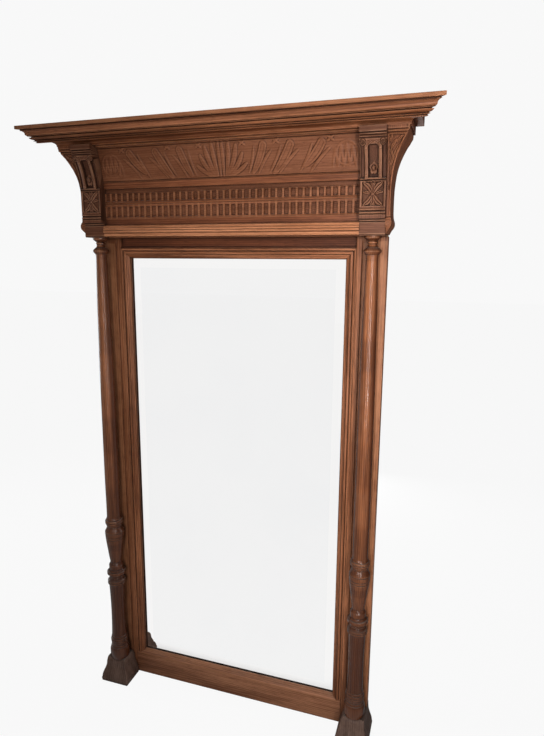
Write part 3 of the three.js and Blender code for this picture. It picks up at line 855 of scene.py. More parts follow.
@dataclass(frozen=True)
class Silvering:
    """Silvered plate: a mirror with the faint bloom of old glass.

    Attributes:
        name: the material's name.
        colour: the silver's colour.
        bloom: its colour where it has aged.
        roughness: its roughness.
    """

    name: str
    colour: Colour
    bloom: Colour
    roughness: float = 0.02

    def material(self) -> bpy.types.Material:
        """Makes the material."""
        data, tree = new_material(self.name)
        here = tree.here()
        cloud = tree.between(tree.noise(here, 3.2, 3.0), 0.35, 0.75)
        specks = tree.between(tree.noise(here, 210.0, 2.0, 0.4), 0.72, 0.8)
        tint = tree.math("ADD", tree.math("MULTIPLY", cloud, 0.55), tree.math("MULTIPLY", specks, 0.25),
                         clamp=True)
        tree.surface(tree.add("ShaderNodeBsdfPrincipled", {
            "Base Color": tree.mix(tint, self.colour, self.bloom),
            "Roughness": tree.math("MULTIPLY_ADD", cloud, 0.015, self.roughness), "Metallic": 1.0}))
        return data


class Finishes:
    """Every material of the mirror, made once."""

    def __init__(self, effects: Effects) -> None:
        """Makes them all from the shared effects."""
        oak = Oak("waxed_oak", (0.37, 0.141, 0.066), (0.1, 0.029, 0.01))
        # a lighter copy of oak for the ledge: a painted highlight where it catches the light
        rubbed = Oak("rubbed_oak", (0.56, 0.235, 0.115), (0.24, 0.082, 0.031))
        rail = Oak("rail_oak", (0.42, 0.185, 0.097), (0.16, 0.058, 0.028))
        crown = Oak("crown_oak", (0.34, 0.13, 0.062), (0.12, 0.038, 0.014), recess=0.0)
        soffit = Oak("soffit_oak", (0.34, 0.125, 0.055), (0.1, 0.028, 0.009), recess=0.0)
        frieze = Oak("frieze_oak", (0.235, 0.078, 0.034), (0.08, 0.022, 0.008), wear=0.25)
        carved = Oak("carved_oak", (0.26, 0.096, 0.047), (0.11, 0.035, 0.014), wear=0.35, reach=0.01,
                     roughness=0.33)
        panel = replace(carved, name="panel_oak", light=(0.25, 0.093, 0.045), dark=(0.14, 0.046, 0.019),
                        wear=0.16, sunk=0.32, hollow=0.6)
        # a darker copy of carved oak for brackets, blocks and caps: painted shade under the cornice, with strong edge
        # wear that is partly a painted highlight
        console = replace(carved, name="console_shaded_oak", light=(0.155, 0.06, 0.032), recess=0.5,
                          dark=(0.065, 0.022, 0.01), wear=0.5, worn=(0.42, 0.21, 0.12))
        # the columns are darkened with painted shade towards the floor and on their sides; their edge wear is partly a
        # painted highlight
        turned = Oak("turned_oak", (0.33, 0.115, 0.045), (0.09, 0.026, 0.009), roughness=0.03,
                     shine=0.14, low=0.72, aside=0.88, recess=0.35, hollow=1.0, quirk=1.0, reach=0.03,
                     wear=0.4, worn=(0.4, 0.19, 0.1))
        dark = Oak("dark_oak", (0.17, 0.052, 0.022), (0.06, 0.016, 0.006), roughness=0.36,
                   worn=(0.2, 0.09, 0.05))
        foot = Oak("foot_oak", (0.19, 0.118, 0.09), (0.062, 0.035, 0.027), roughness=0.42,
                   worn=(0.22, 0.13, 0.095))
        # black for sight edges: a black finish, and painted shade where the rebate meets the glass
        ebonised = Oak("ebonised_oak", (0.014, 0.006, 0.003), (0.006, 0.003, 0.002), wear=0.0,
                       roughness=0.5)
        pine = Oak("raw_pine", (0.44, 0.29, 0.155), (0.26, 0.15, 0.07), pore=(0.16, 0.09, 0.04),
                   dirt_and_shade=(0.05, 0.033, 0.02), roughness=0.65, hollow=0.6, dust=0.4, ring_scale=34.0)
        (self.oak, self.rubbed, self.rail, self.crown, self.soffit, self.frieze, self.carved, self.panel,
         self.console, self.turned, self.dark, self.foot, self.ebonised) = (
            finish.material(effects) for finish in (
                oak, rubbed, rail, crown, soffit, frieze, carved, panel, console, turned, dark, foot,
                ebonised))
        self.pine = {grain: pine.material(effects, grain) for grain in Grain}
        self.inner_oak = oak.material(effects, Grain.ACROSS)
        self.plate, self.bevel, self.backing, self.steel, self.brass = (finish.material() for finish in (
            Silvering("silvered_plate", (0.94, 0.94, 0.94), (0.915, 0.918, 0.925)),
            Silvering("bevelled_edge", (0.97, 0.965, 0.96), (0.95, 0.945, 0.94)),
            Metal("backing_paint", (0.16, 0.15, 0.14), (0.11, 0.1, 0.095), 0.6),
            Metal("dull_steel", (0.42, 0.41, 0.39), (0.2, 0.16, 0.13)),
            Metal("dull_brass", (0.55, 0.4, 0.17), (0.26, 0.17, 0.08))))


# ---------------------------------------------------------------- putting pieces in the scene
class Bench:
    """Puts finished pieces into the scene and reports them.

    Attributes:
        step: how far the grain moves on from one piece to the next.
        wrap: where that starts again.
    """

    step = (0.173, 0.291, 0.617)
    wrap = (0.41, 0.37, 1.9)

    def __init__(self, finishes: Finishes) -> None:
        """Keeps the finishes and starts counting pieces."""
        self.finishes = finishes
        self.count = 0

    def lay(self, name: str, body: Body, materials: Sequence[bpy.types.Material], grain: Grain,
            slot: str, nodes: Sequence[str], even: bool = True) -> bpy.types.Object:
        """Makes a piece that stands for CAD nodes.

        Args:
            name: the piece's name.
            body: its shape.
            materials: its materials, by slot.
            grain: which way its grain runs.
            slot: the record's material slot; not used.
            nodes: the CAD nodes it replaces.
            even: whether broad faces keep flat shading beside their eased edges.

        Returns:
            The piece.
        """
        mesh = body.mesh(name)
        self.count += 1
        shift = self.count * np.array(self.step) % self.wrap
        place = (body.placed * MM)[:, grain.value] + shift
        layer = mesh.attributes.new("grain_place", "FLOAT_VECTOR", "POINT")
        layer.data.foreach_set("vector", place.astype(np.float32).reshape(-1))
        for material in materials:
            mesh.materials.append(material)
        piece = bpy.data.objects.new(name, mesh)
        bpy.context.scene.collection.objects.link(piece)
        if even:
            flat = piece.modifiers.new("even_shading", "WEIGHTED_NORMAL")
            flat.keep_sharp = True
            flat.weight = EVEN_WEIGHT
        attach(piece, BODY)
        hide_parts(*nodes)
        LOG.info("%s: %d points, stands for %s", name, len(body.points), ", ".join(nodes))
        return piece

    def dress(self, node: str, material: bpy.types.Material) -> None:
        """Gives a CAD node that stays a better material."""
        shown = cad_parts[node]
        if shown.material_slots:
            for place in shown.material_slots:
                place.link = "OBJECT"
                place.material = material
        else:
            shown.data.materials.append(material)
        LOG.info("%s: kept, now in %s", node, material.name)


# ---------------------------------------------------------------- the plate
@dataclass
class MirrorPlate:
    """The bevelled, silvered plate.

    Attributes:
        bevel: width of the bevel that shows inside the rebate.
        rebate: how far the plate reaches behind the moulding.
        edge: thickness at its edge.
        arris: width of the bright line where bevel and flat meet.
    """

    bevel: float = 30.0
    rebate: float = 9.0
    edge: float = 3.5
    arris: float = 0.8

    def make(self, bench: Bench) -> None:
        """Makes the plate."""
        e = Extent.of("mirror_plate")
        inset = self.bevel + self.rebate
        levels = [(0.0, e.out_low), (0.0, e.out_low + self.edge), (inset - self.arris, e.out_high - 0.1),
                  (inset + self.arris, e.out_high)]
        rings = np.array([[(e.x_low + d, out, e.z_low + d), (e.x_high - d, out, e.z_low + d),
                           (e.x_high - d, out, e.z_high - d), (e.x_low + d, out, e.z_high - d)]
                          for d, out in levels])
        body = tube(rings)
        body.slots = [2] * 4 + [1] * 8 + [2, 0]
        f = bench.finishes
        bench.lay("bevelled_plate", body, [f.plate, f.bevel, f.backing], Grain.UPRIGHT,
                  "silvered_plate", ["mirror_plate"], even=False)


# ---------------------------------------------------------------- the frame round the plate
@dataclass
class JointedFrame:
    """Stiles, rails and the reeded moulding round the plate.

    Attributes:
        bead: width of the bead worked on each stile's inner edge.
        quirk: width of the groove beside it.
        quirk_depth: depth of that groove.
        rebate_front: where the moulding's rebate ends.
        reveal_front: where the bottom rail starts to slope down, blackened behind it.
        black_edge: width of the blackened sight edge, a black finish that is also painted shade of the rebate.
        rebate: width and height of the rebate that holds the plate.
        reeds: the reeded face, in shares of its width and of its height over the rebate.
        grooved: (share of the groove's depth, height) where a stile's groove fades out.
    """

    bead: float = 17.0
    quirk: float = 2.6
    quirk_depth: float = 2.8
    rebate_front: float = 16.3
    reveal_front: float = 18.6
    black_edge: float = 0.6
    rebate: float = 10.3
    reeds: Profile = (
        (0, 0), (0, 0.2), (0.11, 0.24), (0.11, 0.5), (0.14, 0.56), (0.22, 0.6), (0.3, 0.68), (0.37, 0.8),
        (0.4, 0.84), (0.405, 0.74), (0.45, 0.74), (0.455, 0.84), (0.5, 0.93), (0.6, 0.985), (0.7, 0.93),
        (0.745, 0.84), (0.75, 0.72), (0.8, 0.72), (0.805, 0.9), (0.84, 0.95), (1, 0.97))
    grooved: Profile = (
        (0, 84.0), (0.35, 92.0), (0.75, 100.0), (0.95, 108.0), (1, 112.0), (1, 1640.0), (0.95, 1646.0),
        (0.75, 1652.0), (0.35, 1658.0), (0, 1664.0))

    def make(self, bench: Bench) -> None:
        """Makes the frame's pieces."""
        self.mouldings(bench)
        self.rails(bench)
        for side in Side:
            self.stile(bench, side)

    def mouldings(self, bench: Bench) -> None:
        """The moulding on three sides of the plate, mitred at the top."""
        f = bench.finishes
        plan = Extent.of("inner_moulding_right")
        head = Extent.of("inner_moulding_top")
        width = plan.x_high - plan.x_low
        sight_half, sight_top = plan.x_low, head.z_low
        front = plan.out_high
        face = [(s * width, self.rebate_front + o * (front - self.rebate_front)) for s, o in self.reeds]
        section = [*face, (width, 0), (self.rebate, 0), (self.rebate, self.rebate_front)]

        def slot_of(s: float, out: float) -> int:
            """The sight edge is blackened: a black finish, and painted shade of the rebate."""
            return 1 if s < self.black_edge else 0

        for side in Side:
            sign, bottom = side.value, plan.z_low

            def upright(s: Array, out: Array, w: float) -> Sequence[Array]:
                """Places the section up one side, its foot cut to the bottom rail's slope."""
                foot = bottom - np.clip(out - self.reveal_front, 0, None)
                return sign * (sight_half + s), out, foot + w * (sight_top + s - foot)

            body = swept(section, upright, ease=0.5, slot_of=slot_of)
            bench.lay(f"reeded_moulding_{side.word}", body, [f.oak, f.ebonised], Grain.UPRIGHT, "oak",
                      [f"inner_moulding_{side.word}"])

        mitre = JOINT * math.sqrt(2)

        def across(s: Array, out: Array, w: float) -> Sequence[Array]:
            """Places the section along the top."""
            return (sight_half + s - mitre) * (2 * w - 1), out, sight_top + s

        bench.lay("reeded_moulding_top", swept(section, across, ease=0.5, slot_of=slot_of),
                  [f.oak, f.ebonised], Grain.ACROSS, "oak", ["inner_moulding_top"])

    def rails(self, bench: Bench) -> None:
        """The bottom rail, sloped up to the glass, and the plain top rail."""
        f = bench.finishes
        low = Extent.of("bottom_rail")
        half = Extent.of("inner_moulding_right").x_high
        front, top = low.out_high, low.z_high
        rebate = top - self.rebate
        section = [(0, low.z_low), (front, low.z_low), (front, top + self.reveal_front - front),
                   (self.reveal_front, top), (self.rebate_front, top), (self.rebate_front, rebate),
                   (0, rebate)]

        def slot_of(out: float, z: float) -> int:
            """The face towards the glass is blackened: a black finish, and painted shade of the rebate."""
            return 1 if z > top - 0.7 and out < self.reveal_front else 0

        body = swept(section, lambda out, z, w: (half * (2 * w - 1), out, z), slot_of=slot_of)
        bench.lay("bottom_rail_board", body, [f.rail, f.ebonised], Grain.ACROSS, "oak", ["bottom_rail"])

        high = Extent.of("top_rail")
        z0, z1, out = high.z_low, high.z_high, high.out_high
        section = [(0, z0), (out, z0), (out, z0 + 5), (out - 1.6, z0 + 6.5), (out - 1.6, z1), (0, z1)]
        bench.lay("top_rail_board", run_across(section, -half, half, 0.5), [f.dark], Grain.ACROSS,
                  "dark_oak", ["top_rail"])

    def stile(self, bench: Bench, side: Side) -> None:
        """A stile with a stopped bead on its inner edge."""
        e = Extent.of(f"stile_{side.word}")
        inner, outer = sorted((abs(e.x_low), abs(e.x_high)))
        front = e.out_high
        b, q = self.bead, self.quirk
        rows: list[Array] = []
        for depth, z in ((0, e.z_low), *self.grooved, (0, e.z_high)):
            sunk = front - self.quirk_depth * max(depth, 0.02)
            plan = [(inner, 0), (inner, front - 1.0), (inner + 1.2, front), (inner + b - 0.8, front),
                    (inner + b, sunk), (inner + b + q * 0.6, sunk), (inner + b + q, front),
                    (outer, front), (outer, 0)]
            section, wear = eased(plan, 0.6, crisp=60)
            rows.append(np.column_stack([side.value * section[:, 0], section[:, 1],
                                         np.full(len(section), z)]))
        count = min(len(r) for r in rows)
        body = tube(np.array([r[:count] for r in rows]), wear[:count])
        bench.lay(f"stile_board_{side.word}", body, [bench.finishes.oak], Grain.UPRIGHT, "oak",
                  [f"stile_{side.word}"])


# ---------------------------------------------------------------- columns and feet
@dataclass
class TurnedColumn:
    """A column turned in one length.

    Attributes:
        segments: facets round it.
        turning: (radius, height) of its outline over 1580 mm.
        scored: heights of the lines cut between its rings.
        score: half the width and the depth of such a line.
        spigot: radius and length of the pin at each end.
    """

    segments: int = 72
    turning: Profile = field(default_factory=lambda: [
        (33, 0), (35, 8), (36, 18), (36, 36), (33.5, 42), (29.9, 57), (31.5, 68), (32, 77), (30, 84),
        (27.4, 97), (25.9, 149), (25.4, 203), (27, 268), (28.2, 297), (29, 306), (33, 311), (33, 323),
        (28, 327), (25.2, 331), (28, 343), (34, 350), (34, 358), (28, 365), (25.7, 369),
        (25.8, 385), (22, 392), (20.5, 397), (24.7, 426), (28.6, 458), (32.4, 486), (33.2, 496),
        (34.4, 513), (34.4, 521), (29, 531), (27.2, 537), (28.5, 545), (32, 553), (32, 562),
        (26, 573), (25, 579), (25, 640), (25.9, 718), (25.3, 870), (24.9, 1018), (24.3, 1120),
        (23.2, 1215), (21.9, 1330), (20.5, 1405), (18, 1499), (17.6, 1513), (17.9, 1521), (19.2, 1526),
        (23.1, 1530), (26.6, 1535), (26.9, 1537), (25.2, 1540), (20.4, 1545), (15.4, 1549), (13.8, 1553),
        (13.6, 1557), (15.6, 1560), (15.6, 1563), (13.9, 1565), (17, 1568), (22.4, 1571.5), (24.9, 1575),
        (25.2, 1580)])
    scored: tuple[float, ...] = (47, 56, 65, 74, 83, 92, 317, 337, 347, 361, 491, 500, 517, 541, 549,
                                 557.5, 567)
    score: tuple[float, float] = (1.7, 2.3)
    spigot: tuple[float, float] = (11.0, 22.0)

    def make(self, bench: Bench) -> None:
        """Makes both columns."""
        for side in Side:
            self.column(bench, side)

    def outline(self) -> tuple[Array, Array]:
        """The smoothed outline and its wear, without the closing line on the axis."""
        radii, heights = zip(*self.turning)
        half, depth = self.score
        turned = [(r, z) for r, z in self.turning
                  if all(abs(z - line) > half + 0.2 for line in self.scored)]
        for line in self.scored:
            turned += [(float(np.interp(line + rise_by, heights, radii)) - cut, line + rise_by)
                       for rise_by, cut in ((-half, 0.0), (0.0, depth), (half, 0.0))]
        turned.sort(key=lambda corner: corner[1])
        shares = [(0.0, self.turning[0][1] - 1), *turned, (0.0, self.turning[-1][1] + 1)]
        section, wear = eased(shares, 0.5, crisp=24, halo=1.2)
        outside = section[:, 0] > 10.5
        return section[outside], wear[outside]

    def column(self, bench: Bench, side: Side) -> None:
        """Turns one column on its CAD axis."""
        e = Extent.of(f"column_{side.word}")
        bottom, top = e.z_low + self.spigot[1], e.z_high - self.spigot[1]
        axis_out = (e.out_low + e.out_high) / 2
        section, wear = self.outline()
        order = np.argsort(section[:, 1], kind="stable")
        section, wear = section[order], wear[order]
        low, high = self.turning[0][1], self.turning[-1][1]
        heights = bottom + (np.clip(section[:, 1], low, high) - low) * (top - bottom) / (high - low)
        radius, length = self.spigot
        radii = np.concatenate([[radius, radius], section[:, 0], [radius, radius]])
        heights = np.concatenate([[bottom - length, bottom], heights, [top, top + length]])
        wear = np.concatenate([[0, 0], wear, [0, 0]])
        angle = np.linspace(0, 2 * math.pi, self.segments, endpoint=False)
        rings = np.stack([
            np.stack([e.middle + r * np.cos(angle), axis_out + r * np.sin(angle),
                      np.full(self.segments, z)], -1)
            for r, z in zip(radii, heights)])
        worn = np.repeat(wear[:, None], self.segments, 1)
        bench.lay(f"turned_column_{side.word}", tube(rings, worn), [bench.finishes.turned],
                  Grain.UPRIGHT, "oak", [f"column_{side.word}"], even=False)


@dataclass
class FlaredFoot:
    """The flared block under a column, notched round the stile.

    Attributes:
        sole: height of the upright part at the floor.
        flare: how much wider it is at the floor than at its top.
        round: radius of its upright corners.
        steps: rings in its hollow.
    """

    sole: float = 16.0
    flare: float = 15.5
    round: float = 2.4
    steps: int = 22

    def make(self, bench: Bench) -> None:
        """Makes both feet."""
        for side in Side:
            self.foot(bench, side)

    def spreads(self, height: float) -> list[Point]:
        """(height, spread) of each ring, from the floor up.

        Args:
            height: the foot's height.

        Returns:
            The list.
        """
        levels = [(0.0, 0.86 * self.flare), (1.2, 0.93 * self.flare), (0.72 * self.sole, self.flare),
                  (0.86 * self.sole, 0.995 * self.flare), (0.95 * self.sole, 0.95 * self.flare)]
        shoulder = 0.8 * height
        for i in range(self.steps + 1):
            t = i / self.steps
            levels.append((self.sole + t * (shoulder - self.sole),
                           0.45 * self.flare * (1 + math.cos(math.pi * t))))
        levels += [(0.86 * height, -0.5), (0.91 * height, -2.2), (0.955 * height, -4.6),
                   (0.985 * height, -7.0), (height, -9.0)]
        return levels

    def foot(self, bench: Bench, side: Side) -> None:
        """Makes one foot around its CAD box."""
        e = Extent.of(f"foot_{side.word}")
        stile = Extent.of(f"stile_{side.word}")
        stile_outer = max(abs(stile.x_low), abs(stile.x_high)) + JOINT
        notch = stile.out_high + JOINT
        middle, half = abs(e.middle), (e.x_high - e.x_low) / 2 - self.flare
        front = e.out_high - self.flare
        rings = []
        for z, spread in self.spreads(e.height):
            inner, ahead = middle - half - spread, front + spread
            outer = max(middle + half + spread, stile_outer + 0.8)
            ring: list[Point] = [(stile_outer, 0.0), (outer, 0.0)]
            for corner_x, sign in ((outer, 1), (inner, -1)):
                arc = [(corner_x - sign * self.round * (1 - math.cos(a)),
                        ahead - self.round * (1 - math.sin(a))) for a in np.linspace(0, math.pi / 2, 5)]
                ring += arc if sign > 0 else arc[::-1]
            ring += [(inner, notch), (stile_outer, notch)]
            rings.append([(side.value * x, out, z) for x, out in ring])
        rows = np.array(rings)
        wear = np.zeros(rows.shape[:2])
        wear[:, 2:12] = 0.5
        wear[:3] = 0.4
        wear[-3:] = 0.8
        bench.lay(f"flared_foot_{side.word}", tube(rows, wear), [bench.finishes.foot], Grain.UPRIGHT,
                  "dark_oak", [f"foot_{side.word}"])


# ---------------------------------------------------------------- brackets over the columns
@dataclass
class Console:
    """The carved bracket over a column, with its block, cap and flower.

    Attributes:
        pitch: distance between carved points.
        channel_half: half the width of the sunk channel.
        channel_low: its foot, above the bracket's foot.
        channel_high: its head.
        channel_depth: its depth.
        panel_low: foot of the framed leaf panel.
        panel_high: its head.
        strip: width of the panel's edge strips.
        cap: section of the cap in a unit square.
        curve: (share of its reach, share of its height) of the smooth face.
        drop: (share of the radius, how far before the flower's ground) of each ring of the flower.
    """

    pitch: float = 1.1
    channel_half: float = 14.5
    channel_low: float = 108.0
    channel_high: float = 190.0
    channel_depth: float = 12.0
    panel_low: float = 34.0
    panel_high: float = 98.0
    strip: float = 6.5
    cap: Profile = ((0, 0), (0.86, 0), (0.88, 0.08), (0.95, 0.2), (0.95, 0.26), (0.9, 0.28), (0.9, 0.36),
                    (1, 0.4), (1, 1), (0, 1))
    curve: Profile = ((0.485, 0), (0.485, 0.4), (0.498, 0.475), (0.53, 0.56), (0.585, 0.646),
                      (0.665, 0.737), (0.76, 0.817), (0.866, 0.894), (0.96, 0.95), (1, 1))
    drop: Profile = ((1.0, -5), (1.02, -3.4), (0.93, -0.6), (0.8, 0.8), (0.62, 0.6), (0.45, -1.4),
                     (0.36, -1.0), (0.32, 2.2), (0.22, 4.4), (0.1, 5.6), (0.02, 6.0))

    def make(self, bench: Bench) -> None:
        """Makes both brackets and what belongs to them."""
        f = bench.finishes
        for side in Side:
            word = side.word
            self.block(bench, side)
            self.bracket(bench, side)
            cap = Extent.of(f"console_cap_{word}")
            bench.lay(f"bracket_cap_{word}", run_across(cap.section(self.cap), cap.x_low, cap.x_high),
                      [f.console], Grain.ACROSS, "oak", [f"console_cap_{word}"])
            self.rosette(bench, side)

    def block(self, bench: Bench, side: Side) -> None:
        """The plain block on the column, with a fine moulded line under its top."""
        e = Extent.of(f"console_block_{side.word}")
        front, z0, z1 = e.out_high, e.z_low, e.z_high
        section = [(e.out_low, z0), (front - 1.5, z0), (front - 1.5, z0 + 3), (front - 0.4, z0 + 4),
                   (front - 0.4, z1 - 9), (front - 2.6, z1 - 7.6), (front - 2.6, z1 - 6.4),
                   (front, z1 - 5.4), (front, z1 - 2), (front - 1.6, z1), (e.out_low, z1)]
        bench.lay(f"column_block_{side.word}", run_across(section, e.x_low, e.x_high, 0.6),
                  [bench.finishes.console], Grain.ACROSS, "oak", [f"console_block_{side.word}"])

    def face(self, out_low: float, out_high: float, height: float, v: Array) -> Array:
        """The bracket's smooth face.

        Args:
            out_low: its back.
            out_high: its foremost point.
            height: its height.
            v: heights above its foot.

        Returns:
            How far out the face is at each height.
        """
        reaches, heights = zip(*self.curve)
        t = np.linspace(0, 1, 400)
        smooth = np.minimum(smoothed(np.interp(t, heights, reaches), 41), 1.0)
        return out_low + np.interp(v / height, t, smooth) * (out_high - out_low)

    def carving(self, s: Array, v: Array) -> tuple[Array, Array]:
        """The carved height over the smooth face.

        Args:
            s: distance from the bracket's middle line.
            v: height above its foot.

        Returns:
            The height and how much of it is punched ground.
        """
        side = np.abs(s)
        high = np.zeros_like(s)
        # two fine lines at the foot
        high += lines(v, ((1.9, 15.5, 1.8), (1.5, 25.0, 1.7), (-3.2, 20.5, 1.7), (-2.4, 12.0, 1.2)))
        # the framed panel with its crossed leaves
        inside = (1 - rise(side, 35.0 - self.strip, 36.5 - self.strip)) * rise(
            v, self.panel_low - 1, self.panel_low + 1) * (
                1 - rise(v, self.panel_high - 1, self.panel_high + 1))
        middle = (self.panel_low + self.panel_high) / 2
        leaves = np.zeros_like(s)
        for dz in (1, -1):
            leaves = np.maximum(
                leaves, leaf(side, v, (2, middle + 2 * dz), (24, middle + 29 * dz), 7.0, 3.5 * dz))
            leaves = np.maximum(
                leaves, 0.8 * leaf(side, v, (0, middle + 9 * dz), (5, middle + 31 * dz), 4.0, 2 * dz))
        leaves = np.maximum(leaves, 0.7 * leaf(side, v, (7, middle), (26, middle + 5), 4.4, 2.0))
        leaves = np.maximum(leaves, 0.8 * domed(np.hypot(s, v - middle), 5.5))
        high += inside * (-4.2 + 4.4 * leaves)
        high += 1.3 * bump(side, 33.5, 2.4) * rise(v, 30, 33) * (1 - rise(v, 100, 103))
        # a quirk between panel and pillars
        high += lines(v, ((-3.6, 102.4, 1.5), (1.2, 106.0, 1.5)))
        # slim pillars beside the channel, the outer edges cut back
        zone = rise(v, self.channel_low - 2, self.channel_low + 1) * (
            1 - rise(v, self.channel_high + 3, self.channel_high + 9))
        recess = rise(side, 23.0, 24.5) * (1 - 0.55 * rise(side, 33.5, 35.5))
        high += zone * recess * -8.5
        high += zone * 1.6 * bump(side, 19.3, 2.6)
        high += zone * lines(v, ((1.5, 114, 2.0), (1.4, 182, 2.0))) * (side > 15) * (
            1 - rise(side, 23, 24.5))
        channel = (1 - rise(side, self.channel_half - 1.2, self.channel_half + 0.4)) * rise(
            v, self.channel_low, self.channel_low + 2.5) * (
                1 - rise(v, self.channel_high - 4, self.channel_high + 2))
        high = high * (1 - channel) + channel * -self.channel_depth
        # a small volute at each upper corner and a lit fillet between them
        volute = scroll(side, v, (27.0, 196.0), 8.6)
        near = np.hypot(side - 27.0, v - 196.0) < 8.8
        high = np.where(near, -3.0 + 4.6 * volute, high)
        shell = leaf(side, v, (2.0, 198.0), (13.0, 190.0), 4.2, 2.0)
        high = np.where(shell > 0.03, np.maximum(high, -2.5 + 4.0 * shell), high)
        high = high - 4.2 * bump(v, 206.5, 1.9) + 1.0 * bump(v, 202.0, 1.4)
        # the sunk channel and the recesses by the pillars go in as ground, darkened as painted shade; the leaf panel's
        # ground is punched
        ground = np.maximum(inside * (leaves < 0.05),
                            np.maximum(0.8 * zone * recess * (side < 34), channel))
        return high, ground

    def bracket(self, bench: Bench, side: Side) -> None:
        """Carves one bracket."""
        e = Extent.of(f"console_bracket_{side.word}")
        half = (e.x_high - e.x_low) / 2
        columns, rows = round(2 * half / self.pitch) + 1, round(e.height / self.pitch) + 1
        s, v = np.meshgrid(np.linspace(-half, half, columns), np.linspace(0, e.height, rows))
        out = self.face(e.out_low, e.out_high, e.height, v[:, 0])
        high, ground = self.carving(s, v)
        front = carved_front(e, e.middle + s, out, v, high)
        body = slab(front, e.out_low, crest_and_hollow(high, self.pitch), ground)
        bench.lay(f"carved_bracket_{side.word}", body, [bench.finishes.console], Grain.UPRIGHT,
                  "carved_oak", [f"console_bracket_{side.word}"], even=False)

    def rosette(self, bench: Bench, side: Side) -> None:
        """The flower drop in the channel."""
        e = Extent.of(f"console_rosette_{side.word}")
        middle_z = (e.z_low + e.z_high) / 2
        radius = (e.x_high - e.x_low) / 2 - 0.5
        angle = np.linspace(0, 2 * math.pi, 60, endpoint=False)
        lobes = 0.8 + 0.2 * np.abs(np.cos(2.5 * angle))
        face = e.out_high - 6
        rings = []
        for share, out in ((1.0, e.out_low), *((share, face + ahead) for share, ahead in self.drop)):
            petal = lobes if share > 0.34 else 1.0
            groove = 1.1 * np.abs(np.cos(2.5 * angle)) ** 0.7 if 0.4 < share < 1 else 0 * angle
            reach = radius * share * petal
            rings.append(np.stack([e.middle + reach * np.cos(angle + math.pi / 2),
                                   out + groove - (1.1 if 0.4 < share < 1 else 0) + 0 * angle,
                                   middle_z + reach * 1.4 * np.sin(angle + math.pi / 2)], -1))
        rings = np.array(rings)
        wear = np.zeros(rings.shape[:2])
        wear[3:6], wear[8:] = 0.7, 0.9
        bench.lay(f"flower_drop_{side.word}", tube(rings, wear), [bench.finishes.console], Grain.UPRIGHT,
                  "carved_oak", [f"console_rosette_{side.word}"], even=False)


